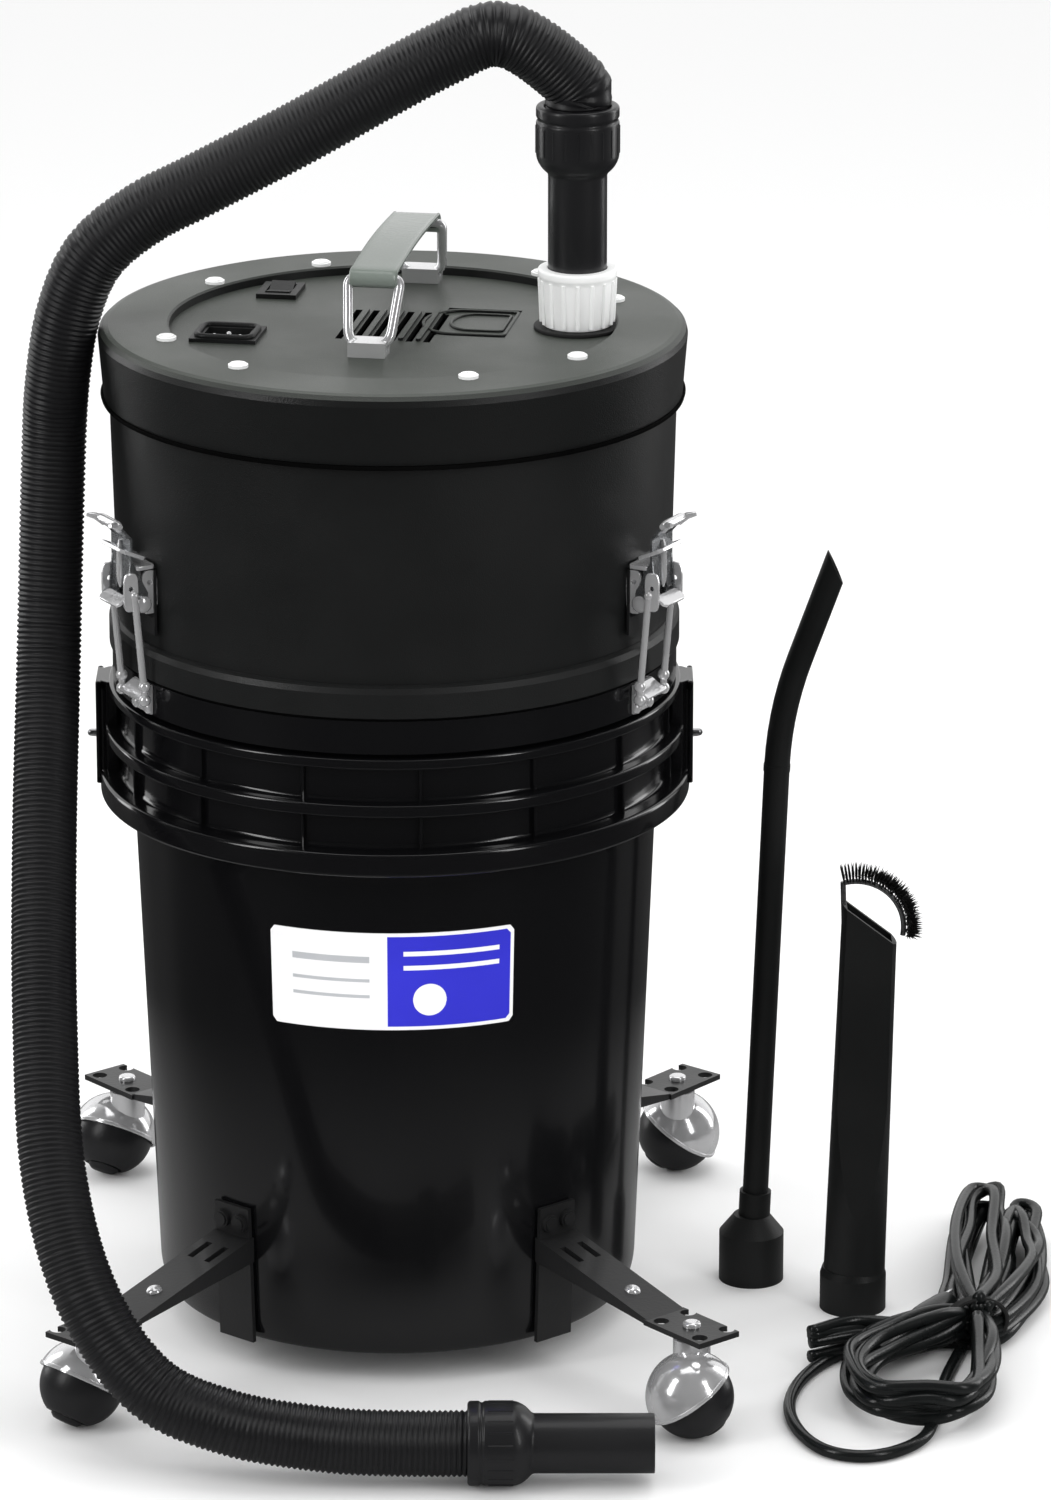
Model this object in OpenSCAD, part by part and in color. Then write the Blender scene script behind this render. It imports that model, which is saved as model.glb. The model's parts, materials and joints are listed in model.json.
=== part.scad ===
// Wheeled dust collector: a motor head latched on a five-gallon pail, on four ball casters.
// Origin on the floor under the pail's axis, front towards -Y, up is +Z, millimetres.

/* [Pail] */
// Floor to the underside of the pail
pail_clear = 17; // [12:1:40]
// Height of the pail, base to rim
pail_h = 364; // [300:1:400]
// Radius of the pail at its base
pail_base_r = 131; // [110:1:150]
// Radius of the pail under its lowest ring
pail_top_r = 141.5; // [120:0.5:160]
// Wall thickness of the pail
pail_wall = 2.4; // [1.5:0.1:4]
// Outer radius of the lowest ring
low_ring_r = 160; // [150:1:170]

/* [Head] */
// Height of the motor housing up to the lid's skirt
housing_h = 136.5; // [110:0.5:180]
// Radius of the housing at its foot
housing_foot_r = 149; // [140:1:155]
// Radius of the housing under the lid
housing_top_r = 152; // [142:1:156]
// Wall thickness of the moulded head
head_wall = 3; // [2:0.5:5]
// Outer radius of the lid
lid_r = 157.6; // [154:0.2:165]
// Height of the lid's skirt and top together
lid_h = 38.5; // [28:0.5:50]
// Radius of the sunken middle of the lid
recess_r = 119.5; // [100:0.5:130]
// Depth of the sunken middle of the lid
recess_depth = 5; // [2:0.5:8]
// Turn of the lid's layout on the pail
lid_turn = -9.5; // [-30:0.5:30]

/* [Port and hose] */
// Position of the hose port across the lid
port_x = 98.5; // [80:0.5:100]
// Outer radius of the hose
hose_r = 17.5; // [14:0.5:24]
// Bore radius of the hose and of its cuffs
hose_bore_r = 14; // [11:0.5:20]
// Outer radius of the cuff tubes
cuff_r = 15.75; // [13:0.05:22]
// How far the hose hangs out beside the head
hose_reach = 186; // [180:1:240]
// How far in front of the pail the hose lies
hose_front = 263; // [230:1:300]
// Height of the hose's crest over the floor
hose_crest = 716; // [690:1:780]

/* [Casters] */
// Angle of each arm from the front-to-back line
arm_angle = 40; // [30:1:50]
// Distance of the caster pins from the pail's axis
caster_pin_r = 247; // [220:1:280]
// Radius of the ball wheels
ball_r = 22.5; // [18:0.5:30]
// How far each ball trails behind its pin
ball_trail = 10; // [8:0.5:16]
// Tilt of the ball's axle below level
axle_tilt = 55; // [30:1:60]
// Thickness of the arm's steel
arm_t = 3; // [2:0.5:5]

/* [Latches] */
// Radial distance of the lever pins
latch_pin_r = 158; // [156:0.5:165]
// Height of the lever pins
latch_pin_z = 428; // [415:1:440]
// Width between the two wires of a latch loop
loop_w = 26; // [22:1:34]

/* [Handle] */
// Distance between the handle's feet
handle_span = 161; // [130:1:200]
// Width of the grip strap
grip_w = 26; // [18:1:34]
// Height of the grip strap over the lid's floor
grip_h = 37; // [28:1:50]

/* [Hidden] */
$fn = 72;
eps = 0.05;
fit = 0.08;
rim_z = pail_clear + pail_h;
low_ring_z = pail_clear + 282;
ring_t = 13;
mid_ring_r = low_ring_r - 3;
mid_ring_z = low_ring_z + 32;
mid_ring_t = 7;
top_ring_r = low_ring_r - 5;
top_ring_z = low_ring_z + 58;
top_ring_t = 5.5;
neck_r = 147;
neck_in_r = 143.5;
groove_r = 149;
taper_z = low_ring_z - 9;
ear_z = low_ring_z + 30;
ear_w = 32;
ear_h = 50;
ear_face = 161.5;
bail_r = 2;
bail_side = ear_face + 3.5;
bail_back = 180;
bail_drop = 18;
bail_bend = 118;
ring_skirt_r = 152.5;
ring_skirt_in = 149.2;
ring_skirt_z = rim_z - 16;
ring_top_z = rim_z + 2;
ring_bore = 120;
seal_t = 2;
foot_z = ring_top_z + seal_t;
flange_r = 154;
flange_h = 17;
skirt_z = foot_z + housing_h;
lid_z = skirt_z + lid_h;
floor_z = lid_z - recess_depth;
lid_t = 3.5;
housing_rim_z = floor_z - lid_t - 2;
lid_in_r = housing_top_r + 1;
step_r = housing_top_r - 2.4;
fan_eye_r = 34;
duct_r = 16;
duct_wall = 1.6;
port_y = 2;
screw_ring_r = 126;
screw_pair_az = 44.5;
screw_pair_half = 16;
screw_r = 2;
screw_head_r = 5.3;
screw_head_h = 2.4;
post_r = 4.6;
motor_r = 62;
motor_z = foot_z + 56;
motor_h = 92;
plate_r = 74;
plate_t = 3;
plate_leg_r = 68;
shaft_r = 4;
fan_r = 58;
fan_z = foot_z + 14;
fan_h = 24;
filter_r = 68;
filter_in_r = 42;
filter_h = 84;
pleats = 36;
cap_t = 4;
port_base_r = 19.3;
port_top_r = 22;
port_z = floor_z + 2;
port_h = 35;
gasket_r = 20.6;
cuff_z = port_z + 5;
collar_z = port_z + 85;
collar_h = 35;
collar_r = 22.2;
cuff_top = collar_z + collar_h;
tool_x = 40;
tool_z = 22.5;
tool_collar = 32;
tool_tube = 66;
inlet_x = -84;
inlet_y = -29;
inlet_w = 30;
inlet_l = 26;
inlet_h = 16;
switch_x = -74;
switch_y = 66;
switch_w = 22;
switch_l = 28;
rocker_w = 13;
rocker_l = 19;
rocker_tip = 6;
vent_count = 6;
vent_l = 62;
vent_w = 3.6;
vent_pitch = 9.5;
pad_x = 42;
pad_y = 20;
pad_w = 40;
pad_l = 58;
handle_x = -3;
handle_y = -55;
loop_lean = 18;
loop_half = 14;
loop_rod = 2.4;
barrel_r = 4.6;
foot_w = 20;
foot_l = 15;
foot_h = 8;
strap_t = 3.4;
latch_az = [-150, -30, 90];
latch_base_w = 24;
cheek_t = 1.2;
lever_half = 11.1;
lever_len = 40;
lever_off = 7;
hitch_dr = 6;
hitch_dz = 6;
loop_rod_r = 1.4;
loop_knuckle_r = 1.7;
loop_bar_r = 158.6;
loop_bar_z = ring_top_z - 8;
keeper_w = 20;
plate_in = housing_foot_r + 1.3;
plate_th = 1.5;
rivet_r = 1.5;
rivet_head = 2.8;
arm_az = [-90 + arm_angle, -90 - arm_angle, 90 - arm_angle, 90 + arm_angle];
ball_az = [-90, 135, 90, 150];
leg_w = 24;
leg_h = 78;
leg_t = 2.5;
leg_r = pail_base_r + 0.4;
leg_lean = atan((pail_top_r - pail_base_r) / (taper_z - pail_clear - 10));
arm_z = 78;
tip_z = 58.6;
tip_in = caster_pin_r - 23;
tip_out = caster_pin_r + 22;
tip_hole_r = 4.2;
tip_hole_x = 15.5;
tip_hole_y = 8;
tip_notch_y = 11;
bolt_gap = 6.2;
bolt_z = 69;
bolt_r = 2.4;
hole_r = 2.6;
nut_r = 4.6;
swivel_t = 2.2;
collar_flange_r = 9.5;
swivel_z = tip_z - arm_t - swivel_t - eps;
pin_r = 4;
hood_t = 1.2;
hood_gap = 1;
axle_r = 3;
wheel_cut = 19.3;
wheel_back = 14;
wand_x = 197;
wand_y = 28;
wand_r = 7.1;
wand_cuff_r = 18;
wand_cuff_h = 38;
wand_neck_h = 14;
wand_h = 300;
wand_lean = 2.2;
wand_bend_r = 210;
wand_bend = 17.5;
wand_tip = 64;
wand_bead = 0.3;
wand_bead_h = 4;
wand_slant = 46;
nozzle_x = 252;
nozzle_y = -15;
nozzle_r = 17;
nozzle_top_r = 14.9;
nozzle_lean = 1.6;
nozzle_flat = 8.5;
nozzle_h = 229;
nozzle_ring_r = 18.3;
nozzle_ring_h = 22;
nozzle_slant = 36;
brush_r = 29.5;
brush_thick = 5.5;
brush_turn = 115;
brush_low = -10;
brush_x = -1.3;
brush_z = 222;
brush_wire = 0.9;
cord_r = 4;
cord_x = 309;
cord_y = -32;
cord_turns = 4.5;
hank_half = 164;
hank_turn = 76;
hank_lobe = 24;
hank_waist = 8;
hank_rise = 9;
hank_stray = 46;
hank_steps = 130;
tie_w = 50;
tie_h = 58;
label_w = 133;
label_h = 55;
label_z = 207;
label_t = 0.4;

function pail_r(z) = pail_base_r + (pail_top_r - pail_base_r) * (z - pail_clear - 10) / (taper_z - pail_clear - 10);
function hose_x(share) = port_x * (1 - share);
function unit(v) = v / norm(v);
function blend4(a, b, c, d, t) =
    0.5 * (2 * b + (c - a) * t + (2 * a - 5 * b + 4 * c - d) * t * t + (3 * b - a - 3 * c + d) * t * t * t);
function curve(k, steps) = [
    for (i = [1:len(k) - 3])
        for (j = [0:steps - 1])
            blend4(k[i - 1], k[i], k[i + 1], k[i + 2], j / steps),
    k[len(k) - 2]
];
function tangent(p, i) = unit(p[min(i + 1, len(p) - 1)] - p[max(i - 1, 0)]);

// A ring of points about the line, turned about the side direction.
function ring(p, i, r, side, sides) =
    let (t = tangent(p, i), u = unit(cross(t, side)), v = cross(u, t))
    [for (j = [0:sides - 1]) p[i] + r * (cos(360 * j / sides) * u + sin(360 * j / sides) * v)];
function rings(p, r, side, sides) = [for (i = [0:len(p) - 1]) each ring(p, i, r, side, sides)];
function walls(n, sides, from, out) = [
    for (i = [0:n - 2])
        for (j = [0:sides - 1])
            let (a = from + i * sides, b = a + sides, k = (j + 1) % sides)
                out ? [a + j, a + k, b + k, b + j] : [a + j, b + j, b + k, a + k]
];

// A round bar swept along the points.
module swept_bar(points, r, side, sides) {
    n = len(points);
    caps = [
        [for (j = [sides - 1:-1:0]) j],
        [for (j = [0:sides - 1]) (n - 1) * sides + j]
    ];
    polyhedron(points = rings(points, r, side, sides), faces = concat(walls(n, sides, 0, true), caps));
}

// A round pipe swept along the points, open at both ends.
module swept_pipe(points, r, bore, side, sides) {
    n = len(points);
    skin = n * sides;
    far = skin - sides;
    near_rim = [for (j = [0:sides - 1]) let (k = (j + 1) % sides) [k, j, skin + j, skin + k]];
    far_rim = [
        for (j = [0:sides - 1])
            let (k = (j + 1) % sides)
                [far + j, far + k, skin + far + k, skin + far + j]
    ];
    polyhedron(
        points = concat(rings(points, r, side, sides), rings(points, bore, side, sides)),
        faces = concat(walls(n, sides, 0, true), walls(n, sides, skin, false), near_rim, far_rim)
    );
}

module tube(r, bore, h) {
    difference() {
        cylinder(r = r, h = h);
        translate([0, 0, -1])
            cylinder(r = bore, h = h + 2);
    }
}

// A profile drawn as radius and height, given a width across the radius.
module slab(points, width) {
    rotate([90, 0, 0])
        linear_extrude(height = width, center = true)
            polygon(points);
}

module outward(az, r, z) {
    rotate([0, 0, az])
        translate([r, 0, z])
            children();
}

module pin_out(r, from, to) {
    translate([from, 0, 0])
        rotate([0, 90, 0])
            cylinder(r = r, h = to - from);
}

module pin_across(r, w) {
    rotate([90, 0, 0])
        cylinder(r = r, h = w, center = true);
}

module on_lid(x, y) {
    rotate([0, 0, lid_turn])
        translate([x, y, floor_z])
            children();
}

module lid_screw_spots() {
    for (quarter = [0:3])
        for (side = [-1, 1])
            rotate([0, 0, screw_pair_az + 90 * quarter + screw_pair_half * side])
                translate([screw_ring_r, 0, 0])
                    children();
}

module duct_spot() {
    translate([port_x, port_y, 0])
        children();
}

// Pail body with its three stiffening rings and the two bail ears.
module bucket() {
    color([0.03, 0.03, 0.035])
    difference() {
        union() {
            rotate_extrude($fn = 144)
                polygon([
                    [0, pail_clear], [pail_base_r - 8, pail_clear], [pail_base_r - 2.5, pail_clear + 2.5],
                    [pail_base_r, pail_clear + 10], [pail_top_r, taper_z], [pail_top_r + 1, low_ring_z],
                    [low_ring_r, low_ring_z], [low_ring_r, low_ring_z + ring_t - 2],
                    [low_ring_r - 2, low_ring_z + ring_t], [groove_r, low_ring_z + ring_t],
                    [groove_r, mid_ring_z], [mid_ring_r, mid_ring_z], [mid_ring_r, mid_ring_z + mid_ring_t],
                    [groove_r, mid_ring_z + mid_ring_t], [groove_r, top_ring_z], [top_ring_r, top_ring_z],
                    [top_ring_r, top_ring_z + top_ring_t], [neck_r, top_ring_z + top_ring_t],
                    [neck_r, rim_z], [neck_in_r, rim_z], [neck_in_r, low_ring_z],
                    [pail_top_r - pail_wall, taper_z], [pail_base_r - pail_wall, pail_clear + 10],
                    [pail_base_r - 8, pail_clear + pail_wall + 1], [0, pail_clear + pail_wall + 1]
                ]);
            for (side = [0, 180])
                rotate([0, 0, side])
                    translate([neck_r - 1, -ear_w / 2, ear_z - ear_h / 2])
                        cube([ear_face - neck_r + 1, ear_w, top_ring_z + top_ring_t - ear_z + ear_h / 2]);
        }
        for (side = [0, 180])
            rotate([0, 0, side])
                translate([0, 0, ear_z])
                    pin_out(bail_r + 0.3, neck_r + 3, ear_face + 1);
        for (az = arm_az)
            for (side = [-1, 1])
                rotate([0, 0, az])
                    translate([0, side * bolt_gap, pail_clear + bolt_z])
                        pin_out(hole_r, pail_base_r - 20, pail_base_r + 20);
    }
}

module label() {
    span = label_w / pail_r(label_z + label_h / 2) * 180 / PI;
    color([0.1, 0.1, 0.75])
    rotate([0, 0, -90 - span / 2])
        rotate_extrude(angle = span, $fn = 144)
            polygon([
                [pail_r(label_z) + eps, label_z], [pail_r(label_z) + eps + label_t, label_z],
                [pail_r(label_z + label_h) + eps + label_t, label_z + label_h],
                [pail_r(label_z + label_h) + eps, label_z + label_h]
            ]);
}

module bail_wire() {
    color([0.6, 0.6, 0.62])
    translate([0, 0, ear_z])
        rotate([-bail_drop, 0, 0]) {
            for (side = [-1, 1]) {
                translate([side * bail_side, 0, 0])
                    sphere(r = bail_r);
                translate([side * (ear_face - 7 + bail_side) / 2, 0, 0])
                    rotate([0, 90, 0])
                        cylinder(r = bail_r, h = bail_side - ear_face + 7, center = true);
                translate([side * bail_side, 0, 0])
                    rotate([-90, 0, 0])
                        cylinder(r = bail_r, h = bail_back - bail_bend);
            }
            translate([bail_side - bail_bend, bail_back - bail_bend, 0])
                rotate_extrude(angle = 90)
                    translate([bail_bend, 0])
                        circle(r = bail_r, $fn = 32);
            translate([bail_bend - bail_side, bail_back - bail_bend, 0])
                rotate([0, 0, 90])
                    rotate_extrude(angle = 90)
                        translate([bail_bend, 0])
                            circle(r = bail_r, $fn = 32);
            translate([0, bail_back, 0])
                rotate([0, 90, 0])
                    cylinder(r = bail_r, h = 2 * (bail_side - bail_bend), center = true);
        }
}

module bail_grip() {
    color([0.05, 0.05, 0.05])
    translate([0, 0, ear_z])
        rotate([-bail_drop, 0, 0])
            translate([-(bail_side - bail_bend) + 2, bail_back, 0])
                rotate([0, 90, 0])
                    tube(7.5, bail_r + 0.3, 2 * (bail_side - bail_bend) - 4);
}

module adapter_ring() {
    color([0.06, 0.06, 0.065])
    difference() {
        rotate_extrude($fn = 144)
            polygon([
                [ring_skirt_r, ring_skirt_z], [ring_skirt_r, ring_top_z], [ring_bore, ring_top_z],
                [ring_bore, ring_top_z - 1.8], [neck_in_r - 4, ring_top_z - 1.8], [neck_in_r - 4, rim_z - 14],
                [neck_in_r - 0.6, rim_z - 14], [neck_in_r - 0.6, rim_z + 0.2], [ring_skirt_in, rim_z + 0.2],
                [ring_skirt_in, ring_skirt_z]
            ]);
        for (az = latch_az)
            for (side = [-1, 1])
                rotate([0, 0, az])
                    translate([0, side * keeper_w / 3, ring_skirt_z + 4])
                        pin_out(rivet_r + 0.1, ring_skirt_in - 1, ring_skirt_r + 1);
    }
}

module keeper_hooks() {
    face = ring_skirt_r + eps;
    color([0.85, 0.85, 0.86])
    for (az = latch_az)
        rotate([0, 0, az])
            difference() {
                slab([
                    [face, ring_skirt_z + 1], [face + 1.4, ring_skirt_z + 1], [face + 1.4, ring_top_z - 3.4],
                    [face + 9.4, ring_top_z - 8], [face + 10.1, ring_top_z - 6.8], [face + 1.4, ring_top_z - 1.7],
                    [face, ring_top_z - 1.2]
                ], keeper_w);
                for (side = [-1, 1])
                    translate([0, side * keeper_w / 3, ring_skirt_z + 4])
                        pin_out(rivet_r + 0.1, face - 1, face + 3);
            }
}

module rivet(face) {
    pin_out(rivet_r, face - 4, face);
    pin_out(rivet_head, face, face + 0.7);
    pin_out(rivet_head - 0.8, face + 0.7, face + 1.2);
}

module keeper_rivets() {
    color([0.75, 0.75, 0.76])
    for (az = latch_az)
        for (side = [-1, 1])
            rotate([0, 0, az])
                translate([0, side * keeper_w / 3, ring_skirt_z + 4])
                    rivet(ring_skirt_r + 2 * eps + 1.4);
}

module head_seal() {
    color([0.1, 0.1, 0.1])
    translate([0, 0, ring_top_z + eps])
        tube(neck_r + 2, neck_in_r, seal_t - 2 * eps, $fn = 144);
}

// Motor housing with its floor, flange, screw posts and air holes.
module housing() {
    color([0.08, 0.085, 0.085])
    difference() {
        union() {
            rotate_extrude($fn = 144)
                polygon([
                    [fan_eye_r, foot_z], [flange_r, foot_z], [flange_r, foot_z + flange_h - 4],
                    [flange_r - 1.4, foot_z + flange_h - 1], [flange_r - 4, foot_z + flange_h],
                    [housing_foot_r, foot_z + flange_h], [housing_top_r, skirt_z], [step_r, skirt_z],
                    [step_r, housing_rim_z], [step_r - head_wall, housing_rim_z], [step_r - head_wall, skirt_z],
                    [housing_foot_r - head_wall, foot_z + flange_h], [housing_foot_r - head_wall, foot_z + head_wall],
                    [fan_eye_r, foot_z + head_wall]
                ]);
            rotate([0, 0, lid_turn])
                lid_screw_spots()
                    translate([0, 0, foot_z + 1])
                        cylinder(r = post_r, h = housing_rim_z - foot_z - 1);
        }
        duct_spot()
            translate([0, 0, foot_z - 1])
                cylinder(r = duct_r + fit, h = head_wall + 2);
        rotate([0, 0, lid_turn])
            lid_screw_spots()
                translate([0, 0, housing_rim_z - 16])
                    cylinder(r = screw_r + fit, h = 17);
        for (az = latch_az)
            for (side = [-1, 1])
                rotate([0, 0, az])
                    translate([0, side * 6.5, latch_pin_z + 12])
                        pin_out(rivet_r + 0.1, housing_foot_r - 5, housing_top_r + 3);
    }
}

module lid() {
    color([0.13, 0.14, 0.13])
    difference() {
        rotate_extrude($fn = 144)
            polygon([
                [0, floor_z - lid_t], [lid_in_r - 2, floor_z - lid_t], [lid_in_r, floor_z - lid_t - 2],
                [lid_in_r, skirt_z + 0.6], [lid_r - 2.6, skirt_z + 0.6], [lid_r, lid_z - 6],
                [lid_r - 0.9, lid_z - 2.8], [lid_r - 3, lid_z - 0.8], [lid_r - 5.6, lid_z],
                [recess_r + 1, lid_z], [recess_r, lid_z - 1], [recess_r, floor_z], [0, floor_z]
            ]);
        duct_spot()
            translate([0, 0, floor_z - lid_t - 1])
                cylinder(r = duct_r + fit, h = lid_t + 2);
        rotate([0, 0, lid_turn])
            lid_screw_spots()
                translate([0, 0, floor_z - lid_t - 1])
                    cylinder(r = screw_r + fit, h = lid_t + recess_depth + 2);
        for (i = [0:vent_count - 1])
            on_lid(handle_x - 22 + vent_pitch * i, 6)
                translate([-vent_w / 2, -vent_l / 2, -lid_t - 1])
                    cube([vent_w, vent_l, lid_t + 2]);
        on_lid(inlet_x, inlet_y)
            translate([-inlet_w / 2 - fit, -inlet_l / 2 - fit, -lid_t - 1])
                cube([inlet_w + 2 * fit, inlet_l + 2 * fit, lid_t + 2]);
        on_lid(switch_x, switch_y)
            translate([-switch_w / 2 + 2, -switch_l / 2 + 2, -lid_t - 1])
                cube([switch_w - 4, switch_l - 4, lid_t + 2]);
        on_lid(pad_x, pad_y)
            translate([-pad_w / 2, -pad_l / 2, -0.8])
                cube([pad_w, pad_l, 1]);
        for (foot = [0, 1])
            for (side = [-1, 1])
                on_lid(handle_x + side * 6, handle_y + handle_span * foot)
                    translate([0, 0, -lid_t - 1])
                        cylinder(r = 1.5 + fit, h = lid_t + 2, $fn = 32);
    }
}

module lid_screws() {
    color([0.93, 0.93, 0.92])
    rotate([0, 0, lid_turn])
        lid_screw_spots() {
            translate([0, 0, housing_rim_z - 14])
                cylinder(r = screw_r, h = lid_z - housing_rim_z + 14.5);
            translate([0, 0, lid_z + eps])
                difference() {
                    union() {
                        cylinder(r = screw_head_r, h = screw_head_h - 0.8);
                        cylinder(r = screw_head_r - 1.2, h = screw_head_h);
                    }
                    translate([-3, -0.5, screw_head_h - 0.9])
                        cube([6, 1, 2]);
                }
        }
}

module inlet_duct() {
    color([0.3, 0.3, 0.3])
    duct_spot()
        translate([0, 0, foot_z - 18])
            tube(duct_r, duct_r - duct_wall, port_z + 2.6 - foot_z + 18);
}

module filter_element() {
    color([0.9, 0.88, 0.8])
    translate([0, 0, foot_z - eps - filter_h])
        difference() {
            linear_extrude(height = filter_h)
                polygon([
                    for (i = [0:2 * pleats - 1])
                        let (a = 180 * i / pleats, r = i % 2 == 0 ? filter_r : filter_in_r + 8)
                            [r * cos(a), r * sin(a)]
                ]);
            translate([0, 0, -1])
                cylinder(r = filter_in_r, h = filter_h + 2);
        }
}

module filter_end_cap() {
    color([0.1, 0.1, 0.1])
    translate([0, 0, foot_z - 2 * eps - filter_h - cap_t]) {
        cylinder(r = filter_r + 2, h = cap_t);
        cylinder(r = filter_in_r - 2, h = cap_t + 3);
    }
}

module motor_plate() {
    color([0.5, 0.5, 0.52])
    difference() {
        union() {
            translate([0, 0, motor_z - plate_t])
                cylinder(r = plate_r, h = plate_t);
            for (i = [0:2])
                rotate([0, 0, 60 + 120 * i])
                    translate([plate_leg_r, 0, foot_z + head_wall + eps])
                        cylinder(r = 5, h = motor_z - foot_z - head_wall - 1);
        }
        translate([0, 0, motor_z - plate_t - 1])
            cylinder(r = 22, h = plate_t + 2);
    }
}

module motor_shell() {
    color([0.6, 0.6, 0.6])
    difference() {
        union() {
            translate([0, 0, motor_z + eps])
                cylinder(r = motor_r, h = motor_h - 14);
            translate([0, 0, motor_z + motor_h - 15])
                cylinder(r1 = motor_r - 6, r2 = motor_r / 2, h = 15);
        }
        translate([0, 0, motor_z - 1])
            cylinder(r = shaft_r + 0.3, h = motor_h - 8);
    }
}

module motor_fan() {
    color([0.7, 0.7, 0.72])
    difference() {
        union() {
            translate([0, 0, fan_z])
                cylinder(r = shaft_r, h = motor_z + motor_h - 12 - fan_z);
            translate([0, 0, fan_z + fan_h - 3])
                cylinder(r = fan_r, h = 3);
            translate([0, 0, fan_z])
                cylinder(r = 12, h = fan_h);
            for (i = [0:8])
                rotate([0, 0, 40 * i])
                    translate([11, -1, fan_z])
                        cube([fan_r - 12, 2, fan_h - 2]);
        }
        translate([0, 0, fan_z - 1])
            cylinder(r = 2, h = 8);
    }
}

module power_inlet() {
    color([0.03, 0.03, 0.03])
    {
        on_lid(inlet_x, inlet_y)
        difference() {
            union() {
                translate([-inlet_w / 2, -inlet_l / 2, -inlet_h])
                    cube([inlet_w, inlet_l, inlet_h + 1]);
                translate([-inlet_w / 2 - 3, -inlet_l / 2 - 3, eps])
                    cube([inlet_w + 6, inlet_l + 6, 2]);
            }
            translate([-inlet_w / 2 + 3, -inlet_l / 2 + 4, -inlet_h + 2])
                cube([inlet_w - 6, inlet_l - 8, inlet_h + 2]);
        }
        for (i = [-1:1])
            on_lid(inlet_x + 7 * i, inlet_y)
                translate([0, 0, 1 - inlet_h])
                    cylinder(r = 1.2, h = inlet_h - 4, $fn = 32);
    }
}

module switch_bezel() {
    color([0.05, 0.05, 0.05])
    on_lid(switch_x, switch_y)
        difference() {
            union() {
                translate([-switch_w / 2, -switch_l / 2, eps])
                    cube([switch_w, switch_l, 2.5]);
                translate([-switch_w / 2 + 2.2, -switch_l / 2 + 2.2, -12])
                    cube([switch_w - 4.4, switch_l - 4.4, 13]);
            }
            translate([-rocker_w / 2 - 0.6, -rocker_l / 2 - 0.8, -10])
                cube([rocker_w + 1.2, rocker_l + 1.6, 20]);
            rotate([0, 90, 0])
                cylinder(r = 1.5, h = switch_w - 5, center = true, $fn = 32);
        }
}

module rocker() {
    color([0.08, 0.08, 0.08])
    on_lid(switch_x, switch_y) {
        rotate([90, 0, 90])
            linear_extrude(height = rocker_w, center = true)
                polygon([
                    [-rocker_l / 2, 1.5], [-rocker_l / 2 + 0.4, 3.2], [0, 1.6], [rocker_l / 2 - 0.4, 4.6],
                    [rocker_l / 2, 3], [4, -5], [-4, -5]
                ]);
        rotate([0, 90, 0])
            cylinder(r = 1.3, h = switch_w - 6, center = true, $fn = 32);
    }
}

module port_gasket() {
    color([0.05, 0.05, 0.05])
    duct_spot()
        translate([0, 0, floor_z + eps])
            tube(gasket_r, duct_r + fit, port_z - floor_z - 2 * eps);
}

module port_adapter() {
    color([0.92, 0.92, 0.9])
    duct_spot()
        difference() {
            union() {
                translate([0, 0, port_z])
                    cylinder(r1 = port_base_r, r2 = port_top_r - 1, h = port_h - 5);
                translate([0, 0, port_z + port_h - 5])
                    cylinder(r = port_top_r, h = 5);
            }
            translate([0, 0, port_z - 1])
                cylinder(r = duct_r + fit, h = 4);
            translate([0, 0, port_z])
                cylinder(r = cuff_r + 0.06, h = port_h + 1);
        }
}

module upper_cuff() {
    color([0.05, 0.05, 0.055])
    duct_spot()
        difference() {
            union() {
                translate([0, 0, cuff_z])
                    cylinder(r = cuff_r, h = collar_z - cuff_z + 1);
                translate([0, 0, collar_z])
                    cylinder(r1 = cuff_r + 1, r2 = collar_r, h = 5);
                translate([0, 0, collar_z + 5])
                    cylinder(r = collar_r, h = collar_h - 5);
            }
            translate([0, 0, cuff_z - 1])
                cylinder(r = hose_bore_r, h = cuff_top - cuff_z + 2);
            translate([0, 0, cuff_top - 12])
                cylinder(r = hose_r + 0.4, h = 13);
        }
}

// The hose runs over the lid, down beside the pail and onto the floor in front.
module hose() {
    start = [port_x, port_y, cuff_top - 11];
    path = [
        start - [0, 0, 20], start, start + [0, 0, 13], start + [-2, -1, 24], [hose_x(0.39), -4, hose_crest],
        [hose_x(0.74), -5, hose_crest - 11], [hose_x(1.49), -7, hose_crest - 52],
        [hose_x(2.03), -8, hose_crest - 80], [hose_x(2.34), -8, hose_crest - 96],
        [28 - hose_reach, -8, hose_crest - 118], [14 - hose_reach, -8, hose_crest - 148],
        [7 - hose_reach, -8, hose_crest - 186], [4 - hose_reach, -10, hose_crest - 230],
        [1 - hose_reach, -34, hose_crest - 330],
        [-hose_reach, -88, hose_crest - 420], [2 - hose_reach, -145, hose_crest - 500],
        [8 - hose_reach, -192, hose_crest - 570], [26 - hose_reach, -226, hose_crest - 625],
        [58 - hose_reach, -246, hose_crest - 667], [100 - hose_reach, -258, tool_z + 10],
        [150 - hose_reach, 1 - hose_front, tool_z + 2], [190 - hose_reach, -hose_front, tool_z],
        [tool_x + 10, -hose_front, tool_z], [tool_x + 40, -hose_front, tool_z]
    ];
    color([0.06, 0.06, 0.065])
        swept_pipe(curve(path, 3), hose_r, hose_bore_r, [0, 1, 0], 20);
}

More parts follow.
